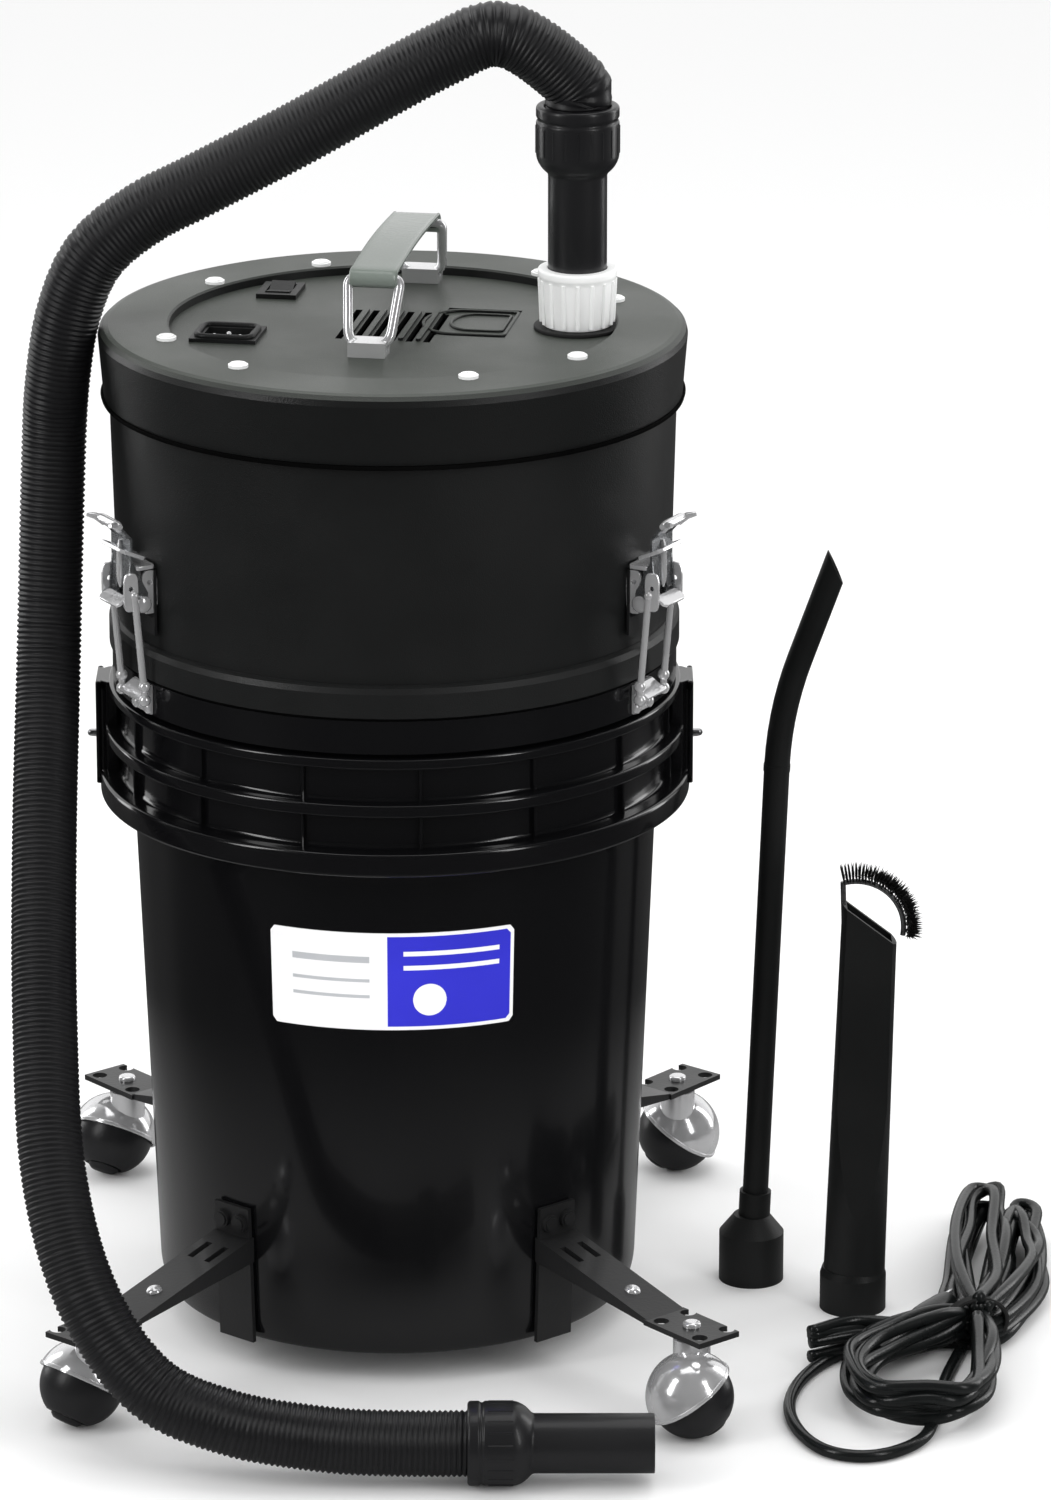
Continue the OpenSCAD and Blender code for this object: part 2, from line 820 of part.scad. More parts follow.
module tool_cuff() {
    color([0.05, 0.05, 0.055])
    translate([0, -hose_front, tool_z])
        difference() {
            union() {
                pin_out(collar_r, tool_x, tool_x + tool_collar);
                pin_out(cuff_r, tool_x + tool_collar - 1, tool_x + tool_collar + tool_tube);
            }
            pin_out(hose_bore_r, tool_x - 1, tool_x + tool_collar + tool_tube + 1);
            pin_out(hose_r + 0.4, tool_x - 1, tool_x + 11);
        }
}

module handle_feet() {
    color([0.07, 0.07, 0.07])
    for (foot = [0, 1])
        on_lid(handle_x, handle_y + handle_span * foot)
            translate([0, 0, eps])
                difference() {
                    translate([-foot_w / 2, -foot_l / 2, 0])
                        cube([foot_w, foot_l, foot_h]);
                    translate([0, 0, 4.4])
                        rotate([0, 90, 0])
                            cylinder(r = loop_rod + fit, h = foot_w + 2, center = true, $fn = 32);
                    for (side = [-1, 1])
                        translate([6 * side, 0, -1])
                            cylinder(r = 1.5 + fit, h = 3, $fn = 32);
                }
}

module handle_screws() {
    color([0.6, 0.6, 0.6])
    for (foot = [0, 1])
        for (side = [-1, 1])
            on_lid(handle_x + 6 * side, handle_y + handle_span * foot)
                translate([0, 0, -9]) {
                    cylinder(r = 1.5, h = 10.4, $fn = 32);
                    cylinder(r = 2.8, h = 5, $fn = 32);
                }
}

module handle_loops() {
    slope = atan2(loop_lean, grip_h - 4.4);
    reach = norm([loop_lean, grip_h - 4.4]);
    color([0.9, 0.9, 0.92])
    for (foot = [0, 1])
        on_lid(handle_x, handle_y + handle_span * foot)
            translate([0, 0, 4.4])
                rotate([foot == 0 ? -slope : slope, 0, 0])
                    for (end = [0, 1]) {
                        translate([0, 0, reach * end])
                            rotate([0, 90, 0])
                                cylinder(r = loop_rod, h = 2 * loop_half, center = true, $fn = 32);
                        for (side = [-1, 1])
                            translate([loop_half * side, 0, reach * end])
                                sphere(r = loop_rod, $fn = 32);
                        translate([loop_half * (2 * end - 1), 0, 0])
                            cylinder(r = loop_rod, h = reach, $fn = 32);
                    }
}

module handle_grip() {
    ends = [handle_y + loop_lean, handle_y + handle_span - loop_lean];
    color([0.75, 0.8, 0.76])
    on_lid(handle_x, 0)
        difference() {
            union() {
                translate([-grip_w / 2 + 1.6, ends[0], grip_h - strap_t / 2])
                    cube([grip_w - 3.2, ends[1] - ends[0], strap_t]);
                for (y = ends)
                    translate([0, y, grip_h])
                        rotate([0, 90, 0])
                            cylinder(r = barrel_r, h = grip_w - 4, center = true);
            }
            for (y = ends)
                translate([0, y, grip_h])
                    rotate([0, 90, 0])
                        cylinder(r = loop_rod + 0.05, h = grip_w + 4, center = true);
        }
}

module latch_bases() {
    color([0.8, 0.8, 0.82])
    for (az = latch_az)
        rotate([0, 0, az])
            difference() {
                union() {
                    translate([plate_in, -latch_base_w / 2, latch_pin_z - 18])
                        cube([plate_th, latch_base_w, 36]);
                    for (side = [-1, 1])
                        translate([0, side * 8.7, 0])
                            slab([
                                [plate_in + 1, latch_pin_z - 9], [latch_pin_r + 3, latch_pin_z - 3],
                                [latch_pin_r + 3, latch_pin_z + 3], [plate_in + 1, latch_pin_z + 8]
                            ], 1.4);
                }
                translate([latch_pin_r, 0, latch_pin_z])
                    pin_across(2.05, 40);
                for (side = [-1, 1])
                    translate([0, side * 6.5, latch_pin_z + 12])
                        pin_out(rivet_r + 0.1, plate_in - 1, plate_in + 3);
            }
}

module latch_rivets() {
    color([0.7, 0.7, 0.72])
    for (az = latch_az)
        for (side = [-1, 1])
            rotate([0, 0, az])
                translate([0, side * 6.5, latch_pin_z + 12])
                    rivet(plate_in + plate_th + eps);
}

module latch_pins() {
    color([0.7, 0.7, 0.72])
    for (az = latch_az)
        outward(az, latch_pin_r, latch_pin_z)
            pin_across(2, 2 * lever_half + 1.6);
}

module latch_lever(which) {
    color([0.88, 0.88, 0.9])
    outward(latch_az[which], latch_pin_r, latch_pin_z)
        difference() {
            union() {
                slab([
                    [lever_off - cheek_t, 4], [lever_off, 4], [lever_off, lever_len - 4],
                    [lever_off + 7, lever_len + 4], [lever_off + 6, lever_len + 5],
                    [lever_off - cheek_t, lever_len - 3.4]
                ], 2 * lever_half);
                for (side = [-1, 1])
                    translate([0, side * (lever_half - cheek_t / 2), 0])
                        slab([
                            [-3, -3], [3, -3], [lever_off + 1.6, 3], [lever_off + 1.6, 9], [lever_off, 24],
                            [lever_off - 1, 24], [-3, 6]
                        ], cheek_t);
            }
            pin_across(2.1, 40);
            translate([hitch_dr, 0, hitch_dz])
                pin_across(loop_rod_r + 0.15, 40);
            translate([lever_off - 5, -5, 0])
                cube([8, 10, 9]);
        }
}

// The wire loop hangs from the lever and hooks under the keeper on the ring.
module latch_loop(which) {
    top = [latch_pin_r + hitch_dr, latch_pin_z + hitch_dz];
    drop = [top[0] - loop_bar_r, top[1] - loop_bar_z];
    color([0.85, 0.85, 0.87])
    rotate([0, 0, latch_az[which]]) {
        for (side = [-1, 1]) {
            translate([loop_bar_r, side * loop_w / 2, loop_bar_z]) {
                sphere(r = loop_knuckle_r);
                rotate([0, atan2(drop[0], drop[1]), 0])
                    cylinder(r = loop_rod_r, h = norm(drop));
            }
            translate([top[0], side * loop_w / 2, top[1]])
                sphere(r = loop_knuckle_r);
            translate([top[0], side * (loop_w / 2 - 1.4), top[1]])
                pin_across(loop_rod_r, 2.8);
        }
        translate([loop_bar_r, 0, loop_bar_z])
            pin_across(loop_rod_r, loop_w);
    }
}

module at_leg(which) {
    rotate([0, 0, arm_az[which]])
        translate([leg_r, 0, pail_clear])
            rotate([0, leg_lean, 0])
                children();
}

// One pressed-steel arm: a leg on the pail, a sloping strap and a holed end plate.
module bracket(which) {
    wall = leg_r + leg_t;
    hand = which % 2 == 0 ? 1 : -1;
    color([0.07, 0.07, 0.075])
    difference() {
        union() {
            at_leg(which)
                translate([0, -leg_w / 2, 0])
                    cube([leg_t, leg_w, leg_h]);
            rotate([0, 0, arm_az[which]]) {
                slab([
                    [wall - 0.5, arm_z - arm_t], [wall - 0.5, arm_z], [tip_in + 2, tip_z], [tip_in + 2, tip_z - arm_t]
                ], leg_w + 2);
                for (side = [-1, 1])
                    translate([0, side * (leg_w / 2), 0])
                        slab([
                            [wall - 0.5, arm_z - 14], [wall - 0.5, arm_z], [tip_in + 2, tip_z],
                            [tip_in + 2, tip_z - arm_t]
                        ], 2);
                translate([tip_in, -leg_w / 2 - 2, tip_z - arm_t])
                    cube([tip_out - tip_in, leg_w + 4, arm_t]);
            }
        }
        at_leg(which)
            for (side = [-1, 1])
                translate([0, side * bolt_gap, bolt_z])
                    pin_out(hole_r, -5, 10);
        rotate([0, 0, arm_az[which]]) {
            for (side = [-1, 1])
                translate([wall + 14, side * 6 - 2, arm_z - 20])
                    cube([16, 4, 30]);
            translate([caster_pin_r, 0, 0]) {
                cylinder(r = pin_r + 0.15, h = 100);
                for (end = [-1, 1]) {
                    translate([tip_hole_x * end, -hand * tip_hole_y, 0])
                        cylinder(r = tip_hole_r, h = 100);
                    translate([tip_hole_x * end, hand * tip_notch_y, 0])
                        cylinder(r = tip_hole_r, h = 100);
                }
            }
        }
    }
}

module arm_bolts() {
    color([0.75, 0.75, 0.76])
    for (which = [0:3])
        at_leg(which)
            for (side = [-1, 1])
                translate([0, side * bolt_gap, bolt_z]) {
                    pin_out(bolt_r, -9, leg_t + 1);
                    pin_out(4.8, leg_t + eps, leg_t + 2.2);
                    pin_out(3.6, leg_t + 2.2, leg_t + 3);
                }
}

module arm_nuts() {
    color([0.7, 0.7, 0.72])
    for (which = [0:3])
        at_leg(which)
            for (side = [-1, 1])
                translate([-pail_wall - 6.4, side * bolt_gap, bolt_z])
                    rotate([0, 90, 0])
                        difference() {
                            cylinder(r = nut_r, h = 4, $fn = 6);
                            translate([0, 0, -1])
                                cylinder(r = bolt_r + 0.04, h = 6);
                        }
}

module at_caster(which) {
    rotate([0, 0, arm_az[which]])
        translate([caster_pin_r, 0, 0])
            rotate([0, 0, ball_az[which] - arm_az[which]])
                children();
}

module caster_collars() {
    color([0.85, 0.85, 0.87])
    for (which = [0:3])
        outward(arm_az[which], caster_pin_r, swivel_z)
            tube(collar_flange_r, pin_r + 0.15, swivel_t);
}

module along_axle() {
    translate([ball_trail, 0, ball_r])
        rotate([-90 - axle_tilt, 0, 0])
            children();
}

// Caster hood: a half shell over the ball, the swivel boss and pin, and the ball's axle.
module caster_hood(which) {
    color([0.9, 0.9, 0.92])
    at_caster(which) {
        difference() {
            union() {
                along_axle()
                    sphere(r = ball_r + hood_gap + hood_t, $fn = 96);
                translate([0, 0, ball_r + 12])
                    cylinder(r = 10, h = swivel_z - ball_r - 13);
            }
            along_axle() {
                sphere(r = ball_r + hood_gap, $fn = 96);
                translate([0, 0, -1])
                    cylinder(r = 60, h = 60);
            }
        }
        translate([0, 0, swivel_z - 1.5])
            cylinder(r = pin_r, h = tip_z - swivel_z);
        along_axle()
            translate([0, 0, -ball_r - hood_gap - 0.6])
                cylinder(r = axle_r, h = ball_r + hood_gap + wheel_cut + 1.6);
        along_axle()
            translate([0, 0, wheel_cut + 0.4])
                cylinder(r1 = 8, r2 = 6, h = 2);
    }
}

module caster_wheel(which) {
    color([0.08, 0.08, 0.085])
    at_caster(which)
        along_axle()
            difference() {
                sphere(r = ball_r, $fn = 96);
                translate([0, 0, wheel_cut])
                    cylinder(r = 40, h = 20);
                translate([0, 0, -wheel_back - 30])
                    cylinder(r = 40, h = 30);
                translate([0, 0, -30])
                    cylinder(r = axle_r + 0.15, h = 60);
            }
}

module wand_cuff() {
    color([0.1, 0.1, 0.1])
    translate([wand_x, wand_y, 0])
        difference() {
            union() {
                cylinder(r = wand_cuff_r, h = wand_cuff_h - 10);
                translate([0, 0, wand_cuff_h - 10])
                    cylinder(r1 = wand_cuff_r, r2 = wand_r + 3, h = 10);
                rotate([0, wand_lean, 0])
                    translate([0, 0, wand_cuff_h - 4])
                        cylinder(r = wand_r + 1.7, h = wand_neck_h + 4);
            }
            translate([0, 0, -1])
                cylinder(r = cuff_r + 0.06, h = wand_cuff_h - 13);
            rotate([0, wand_lean, 0])
                cylinder(r = wand_r + 0.1, h = 100);
        }
}

module wand_line(r, over) {
    cylinder(r = r, h = wand_h);
    translate([wand_bend_r, 0, wand_h])
        rotate([90, 0, 0])
            rotate([0, 0, 180 - wand_bend])
                rotate_extrude(angle = wand_bend, $fn = 96)
                    translate([wand_bend_r, 0])
                        circle(r = r, $fn = 32);
    translate([wand_bend_r, 0, wand_h])
        rotate([0, wand_bend, 0])
            translate([-wand_bend_r, 0, 0])
                cylinder(r = r, h = wand_tip + over);
}

// A slim bent tube whose tip is cut on the slant, with a low bead where the bend begins.
module wand_tube() {
    color([0.09, 0.09, 0.09])
    translate([wand_x, wand_y, 0])
        rotate([0, wand_lean, 0])
            difference() {
                union() {
                    wand_line(wand_r, 0);
                    translate([0, 0, wand_h - wand_bead_h / 2])
                        cylinder(r = wand_r + wand_bead, h = wand_bead_h);
                }
                wand_line(wand_r - 1.5, 9);
                translate([-30, -30, -1])
                    cube([60, 60, wand_cuff_h - 11]);
                translate([wand_bend_r, 0, wand_h])
                    rotate([0, wand_bend, 0])
                        translate([-wand_bend_r, 0, wand_tip - 9])
                            rotate([0, wand_slant, 0])
                                translate([-60, -60, 0])
                                    cube([120, 120, 60]);
            }
}

// A flat nozzle with a round ringed foot; its mouth is cut on the slant.
module crevice_nozzle() {
    color([0.1, 0.1, 0.1])
    translate([nozzle_x, nozzle_y, 0])
        difference() {
            union() {
                cylinder(r = nozzle_ring_r, h = nozzle_ring_h - 2);
                translate([0, 0, nozzle_ring_h - 2])
                    cylinder(r1 = nozzle_ring_r, r2 = nozzle_r, h = 4);
                rotate([0, nozzle_lean, 0])
                    intersection() {
                        translate([0, 0, nozzle_ring_h - 1])
                            cylinder(r1 = nozzle_r, r2 = nozzle_top_r, h = nozzle_h + 20);
                        nozzle_side();
                    }
            }
            translate([0, 0, -1])
                cylinder(r = cuff_r + 0.06, h = nozzle_ring_h - 1);
            rotate([0, nozzle_lean, 0]) {
                translate([2.4 - nozzle_top_r, 2.4 - nozzle_flat, nozzle_ring_h - 4])
                    cube([2 * nozzle_top_r - 4.8, 2 * nozzle_flat - 4.8, nozzle_h + 40]);
                translate([0, 0, nozzle_h - 4])
                    rotate([0, nozzle_slant, 0])
                        translate([-60, -60, 0])
                            cube([120, 120, 60]);
            }
        }
}

module nozzle_side() {
    rotate([90, 0, 90])
        linear_extrude(height = 60, center = true)
            polygon([
                [-nozzle_r, 0], [nozzle_r, 0], [nozzle_r, 55], [nozzle_flat, 120], [nozzle_flat, nozzle_h + 30],
                [-nozzle_flat, nozzle_h + 30], [-nozzle_flat, 120], [-nozzle_r, 55]
            ]);
}

// A bow of bristles on a wire let into the nozzle's edge.
module crevice_brush() {
    color([0.12, 0.12, 0.12])
    translate([nozzle_x + brush_x, nozzle_y, brush_z]) {
        translate([-6, 0, -2])
            cylinder(r = brush_wire, h = brush_r, $fn = 24);
        rotate([90, 0, 0])
            rotate([0, 0, brush_low])
                rotate_extrude(angle = brush_turn, $fn = 96)
                    translate([brush_r, 0])
                        circle(r = brush_thick, $fn = 32);
    }
}

// A hank of mains cord wound round and round, pinched at its tie, its first turn straying wide.
function hank(turn) =
    let (
        a = 360 * turn,
        long = hank_half * cos(a),
        stray = a > 90 && a < 180 ? hank_stray * sin(2 * a - 180) : 0,
        wide = (hank_waist + hank_lobe * pow(abs(cos(a)), 1.5) * abs(sin(a)) * 1.8 + 2 * turn) * sign(sin(a))
    )
    [
        cord_x + long * cos(hank_turn) - (wide + stray) * sin(hank_turn),
        cord_y + long * sin(hank_turn) + (wide + stray) * cos(hank_turn),
        cord_r + 2.5 + hank_rise * turn
    ];

module power_cord() {
    path = [for (i = [0:hank_steps]) hank((i + 0.5) / hank_steps * cord_turns)];
    color([0.15, 0.16, 0.16])
        swept_bar(path, cord_r, [0, 0, 1], 10);
}

module cord_tie() {
    color([0.3, 0.3, 0.3])
    translate([cord_x, cord_y, tie_h / 2 + 0.5])
        rotate([0, 0, hank_turn])
            difference() {
                cube([6, tie_w, tie_h], center = true);
                cube([8, tie_w - 3, tie_h - 3], center = true);
            }
}

bucket();
label();
bail_wire();
bail_grip();
adapter_ring();
keeper_hooks();
keeper_rivets();
head_seal();
housing();
lid();
lid_screws();
inlet_duct();
filter_element();
filter_end_cap();
motor_plate();
motor_shell();
motor_fan();
power_inlet();
switch_bezel();
rocker();
port_gasket();
port_adapter();
upper_cuff();
hose();
tool_cuff();
handle_feet();
handle_screws();
handle_loops();
handle_grip();
latch_bases();
latch_rivets();
latch_pins();
latch_lever(0);  // lever_left
latch_lever(1);  // lever_right
latch_lever(2);  // lever_back
latch_loop(0);  // loop_left
latch_loop(1);  // loop_right
latch_loop(2);  // loop_back
bracket(0);  // arm_front_right
bracket(1);  // arm_front_left
bracket(2);  // arm_back_right
bracket(3);  // arm_back_left
arm_bolts();
arm_nuts();
caster_collars();
caster_hood(0);  // hood_front_right
caster_hood(1);  // hood_front_left
caster_hood(2);  // hood_back_right
caster_hood(3);  // hood_back_left
caster_wheel(0);  // wheel_front_right
caster_wheel(1);  // wheel_front_left
caster_wheel(2);  // wheel_back_right
caster_wheel(3);  // wheel_back_left
wand_cuff();
wand_tube();
crevice_nozzle();
crevice_brush();
power_cord();
cord_tie();
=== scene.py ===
import json
import math
import random

import bmesh
import bpy
import numpy as np
from mathutils import Matrix, Vector


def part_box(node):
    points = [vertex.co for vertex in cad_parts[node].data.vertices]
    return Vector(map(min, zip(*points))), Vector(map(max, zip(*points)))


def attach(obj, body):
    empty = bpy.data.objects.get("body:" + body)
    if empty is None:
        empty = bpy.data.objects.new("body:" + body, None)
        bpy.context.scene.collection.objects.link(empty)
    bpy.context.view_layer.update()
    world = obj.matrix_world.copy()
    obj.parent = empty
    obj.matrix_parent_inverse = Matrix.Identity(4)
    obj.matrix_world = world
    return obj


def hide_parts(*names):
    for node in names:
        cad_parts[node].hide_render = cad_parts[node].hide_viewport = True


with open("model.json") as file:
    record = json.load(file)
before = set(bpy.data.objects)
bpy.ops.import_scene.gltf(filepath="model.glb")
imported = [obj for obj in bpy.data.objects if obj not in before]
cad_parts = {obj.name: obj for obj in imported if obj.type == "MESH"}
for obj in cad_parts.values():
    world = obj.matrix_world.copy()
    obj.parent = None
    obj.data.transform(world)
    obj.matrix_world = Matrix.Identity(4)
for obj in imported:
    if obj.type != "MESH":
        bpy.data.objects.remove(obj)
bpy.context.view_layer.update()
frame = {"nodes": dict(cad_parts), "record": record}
record = frame["record"]
nodes = frame["nodes"]
rng = random.Random(7)
MM = 0.001

# ---------------------------------------------------------------- materials


class Shader:
    """One Principled material, with its extra nodes added by short calls."""

    def __init__(self, name, colour, rough=0.5, metal=0.0, coat=0.0):
        self.mat = bpy.data.materials.new(name)
        self.mat.use_nodes = True
        self.tree = self.mat.node_tree
        self.bsdf = self.tree.nodes["Principled BSDF"]
        self.colour = (*colour, 1)
        self.bsdf.inputs["Base Color"].default_value = self.colour
        self.bsdf.inputs["Roughness"].default_value = rough
        self.bsdf.inputs["Metallic"].default_value = metal
        self.bsdf.inputs["Coat Weight"].default_value = coat
        self.bsdf.inputs["Coat Roughness"].default_value = 0.08
        self.coords = self.tree.nodes.new("ShaderNodeTexCoord")
        self.last_bump = None

    def link(self, a, b):
        self.tree.links.new(a, b)

    def noise(self, scale, detail=3.0, stretch=(1, 1, 1), rough=0.5):
        mapping = self.tree.nodes.new("ShaderNodeMapping")
        mapping.inputs["Scale"].default_value = stretch
        self.link(self.coords.outputs["Object"], mapping.inputs["Vector"])
        tex = self.tree.nodes.new("ShaderNodeTexNoise")
        tex.inputs["Scale"].default_value = scale
        tex.inputs["Detail"].default_value = detail
        tex.inputs["Roughness"].default_value = rough
        self.link(mapping.outputs["Vector"], tex.inputs["Vector"])
        return tex.outputs["Fac"]

    def ramp(self, value, low, high, out_low=0.0, out_high=1.0):
        node = self.tree.nodes.new("ShaderNodeMapRange")
        node.inputs["From Min"].default_value = low
        node.inputs["From Max"].default_value = high
        node.inputs["To Min"].default_value = out_low
        node.inputs["To Max"].default_value = out_high
        self.link(value, node.inputs["Value"])
        return node.outputs["Result"]

    def tint(self, value, colour):
        """Mixes the base colour towards another where value is high."""
        node = self.tree.nodes.new("ShaderNodeMix")
        node.data_type = "RGBA"
        node.inputs[6].default_value = self.colour
        node.inputs[7].default_value = (*colour, 1)
        self.link(value, node.inputs[0])
        self.link(node.outputs[2], self.bsdf.inputs["Base Color"])

    def roughness(self, value):
        self.link(value, self.bsdf.inputs["Roughness"])

    def bump(self, value, strength, distance):
        node = self.tree.nodes.new("ShaderNodeBump")
        node.inputs["Strength"].default_value = strength
        node.inputs["Distance"].default_value = distance
        self.link(value, node.inputs["Height"])
        if self.last_bump:
            self.link(self.last_bump, node.inputs["Normal"])
        self.last_bump = node.outputs["Normal"]
        self.link(self.last_bump, self.bsdf.inputs["Normal"])


def plastic(name, colour, rough, grain, depth, coat=0.0, wear=0.25, shine=0.5):
    s = Shader(name, colour, rough, 0.0, coat)
    s.bsdf.inputs["Specular IOR Level"].default_value = shine
    patches = s.noise(9, 4)
    fine = s.noise(grain, 2)
    s.roughness(s.ramp(patches, 0.3, 0.7, rough * (1 - wear), rough * (1 + wear)))
    lighter = [min(1, c * 1.35 + 0.002) for c in colour]
    s.tint(s.ramp(patches, 0.35, 0.75, 0, 0.6), lighter)
    s.bump(fine, 0.35, depth)
    return s.mat


def metal(name, colour, rough, stretch=(1, 1, 1), shine=1.0):
    s = Shader(name, colour, rough, shine)
    patches = s.noise(30, 3)
    scratches = s.noise(260, 2, stretch)
    s.roughness(s.ramp(scratches, 0.3, 0.7, rough * 0.6, rough * 1.5))
    s.tint(s.ramp(patches, 0.4, 0.8, 0, 0.5), [c * 0.8 for c in colour])
    s.bump(scratches, 0.08, 0.0002)
    return s.mat


def gloss_black():
    s = Shader("pail_gloss", (0.0035, 0.0035, 0.004), 0.16, 0.0, 0.4)
    waves = s.noise(14, 2, (1, 1, 0.3))
    specks = s.noise(900, 2)
    smears = s.noise(22, 5, (1, 1, 0.25))
    s.roughness(s.ramp(smears, 0.35, 0.75, 0.13, 0.26))
    s.bump(waves, 0.05, 0.004)
    s.bump(specks, 0.05, 0.0003)
    return s.mat


def lid_plastic():
    """Black moulding whose upward faces are painted paler: a painted highlight standing in for light from
    above.
    """
    s = Shader("lid_grey", (0.006, 0.0065, 0.0065), 0.42)
    facing = s.tree.nodes.new("ShaderNodeSeparateXYZ")
    s.link(s.coords.outputs["Normal"], facing.inputs[0])
    # Painted highlight: the more a face points up, the more its colour is mixed towards a pale grey-green,
    # standing in for light falling from above.
    s.tint(s.ramp(facing.outputs["Z"], 0.45, 0.97), (0.05, 0.057, 0.049))
    s.roughness(s.ramp(s.noise(9, 4), 0.3, 0.7, 0.3, 0.5))
    s.bump(s.noise(1500, 2), 0.35, 0.0005)
    return s.mat


M = {
    "black_gloss": gloss_black(),
    "label_film": plastic("label_film", (0.02, 0.02, 0.42), 0.3, 600, 0.00005),
    "wire_steel": metal("wire_steel", (0.55, 0.55, 0.56), 0.3, (1, 8, 1)),
    "black_matte": plastic("black_matte", (0.0055, 0.006, 0.006), 0.46, 1400, 0.0004),
    "lid_grey": lid_plastic(),
    "white_plastic": plastic("white_plastic", (0.93, 0.94, 0.93), 0.4, 700, 0.0001, wear=0.15),
    "rubber_black": plastic("rubber_black", (0.009, 0.009, 0.009), 0.7, 900, 0.0003),
    "hose_black": plastic("hose_black", (0.007, 0.007, 0.008), 0.4, 900, 0.0002),
    "zinc": metal("zinc", (0.9, 0.9, 0.91), 0.14, shine=0.72),
    "dark_zinc": metal("dark_zinc", (0.34, 0.35, 0.36), 0.24, shine=0.9),
    "painted_steel": plastic("painted_steel", (0.009, 0.009, 0.0095), 0.38, 500, 0.0003, coat=0.2),
    "filter_paper": plastic("filter_paper", (0.8, 0.77, 0.66), 0.85, 900, 0.0006),
    "motor_metal": metal("motor_metal", (0.6, 0.6, 0.6), 0.35),
    "ball_tyre": plastic("ball_tyre", (0.009, 0.009, 0.01), 0.36, 700, 0.0002),
    "grip_grey": plastic("grip_grey", (0.5, 0.54, 0.5), 0.35, 500, 0.0002),
    "cuff_black": plastic("cuff_black", (0.008, 0.008, 0.009), 0.34, 800, 0.0002, coat=0.15),
    "strap_black": plastic("strap_black", (0.16, 0.185, 0.165), 0.22, 420, 0.0006, coat=0.4),
    # Near-black with almost no shine: a painted shadow, used for the dark ring under the lid's skirt.
    "seam_black": plastic("seam_black", (0.001, 0.001, 0.001), 0.9, 900, 0.0002, shine=0.05),
    "bristle_black": plastic("bristle_black", (0.004, 0.004, 0.004), 0.5, 400, 0.0001),
    "label_white": plastic("label_white", (0.86, 0.86, 0.87), 0.3, 500, 0.00004, wear=0.1),
    "label_blue": plastic("label_blue", (0.02, 0.02, 0.55), 0.3, 500, 0.00004, wear=0.1),
    "label_grey": plastic("label_grey", (0.42, 0.43, 0.45), 0.35, 500, 0.00004, wear=0.1),
    "cord_black": plastic("cord_black", (0.006, 0.007, 0.007), 0.24, 600, 0.0003),
}

slot_of = {s["node"]: s["material_slot"] for s in record["subparts"]}
LOOKS = {"arm_bolts": "painted_steel", "latch_bases": "painted_steel", "handle_feet": "zinc"}
LOOKS.update({f"lever_{side}": "dark_zinc" for side in ("left", "right", "back")})
for name, obj in nodes.items():
    obj.data.materials.clear()
    obj.data.materials.append(M[LOOKS.get(name, slot_of[name])])

# ---------------------------------------------------------------- shapes


def piece(name, verts, faces, mat, body, smooth=True, stands_for=(), slot=None, sharp=40):
    """A new mesh piece, its points given in millimetres, riding on a CAD body."""
    mesh = bpy.data.meshes.new(name)
    mesh.from_pydata([tuple(float(c) * MM for c in v) for v in verts], [],
                     [tuple(map(int, f)) for f in faces])
    mesh.validate()
    shell = bmesh.new()
    shell.from_mesh(mesh)
    bmesh.ops.recalc_face_normals(shell, faces=shell.faces)
    shell.to_mesh(mesh)
    shell.free()
    obj = bpy.data.objects.new(name, mesh)
    bpy.context.scene.collection.objects.link(obj)
    mesh.materials.append(M[mat])
    if smooth:
        soften(obj, sharp)
    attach(obj, body)
    if stands_for:
        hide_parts(*stands_for)
    return obj


def soften(obj, sharp=40):
    mesh = obj.data
    mesh.polygons.foreach_set("use_smooth", [True] * len(mesh.polygons))
    mesh.set_sharp_from_angle(angle=math.radians(sharp))


def bevel(obj, width, segments=2, angle=35):
    mod = obj.modifiers.new("rounded", "BEVEL")
    mod.width = width
    mod.segments = segments
    mod.limit_method = "ANGLE"
    mod.angle_limit = math.radians(angle)
    mod.harden_normals = False


def join(parts):
    """Several (verts, faces) as one."""
    verts, faces, base = [], [], 0
    for v, f in parts:
        verts.extend(v)
        faces.extend([tuple(i + base for i in face) for face in f])
        base += len(v)
    return verts, faces


def move(part, matrix):
    return [tuple(matrix @ Vector(v)) for v in part[0]], part[1]


def fillet(points, radius, steps=4, closed=False):
    """Rounds each corner of a profile; radius is one number or one per point."""
    n = len(points)
    radii = [radius] * n if isinstance(radius, (int, float)) else list(radius)
    out = []
    for i, p in enumerate(points):
        p = np.array(p, float)
        if radii[i] <= 0 or (not closed and i in (0, n - 1)):
            out.append(tuple(p))
            continue
        a = np.array(points[i - 1], float) - p
        b = np.array(points[(i + 1) % n], float) - p
        la, lb = np.linalg.norm(a), np.linalg.norm(b)
        cut = min(radii[i], la * 0.49, lb * 0.49)
        start, end = p + a / la * cut, p + b / lb * cut
        for k in range(steps + 1):
            t = k / steps
            out.append(tuple((1 - t) ** 2 * start + 2 * t * (1 - t) * p + t * t * end))
    return out


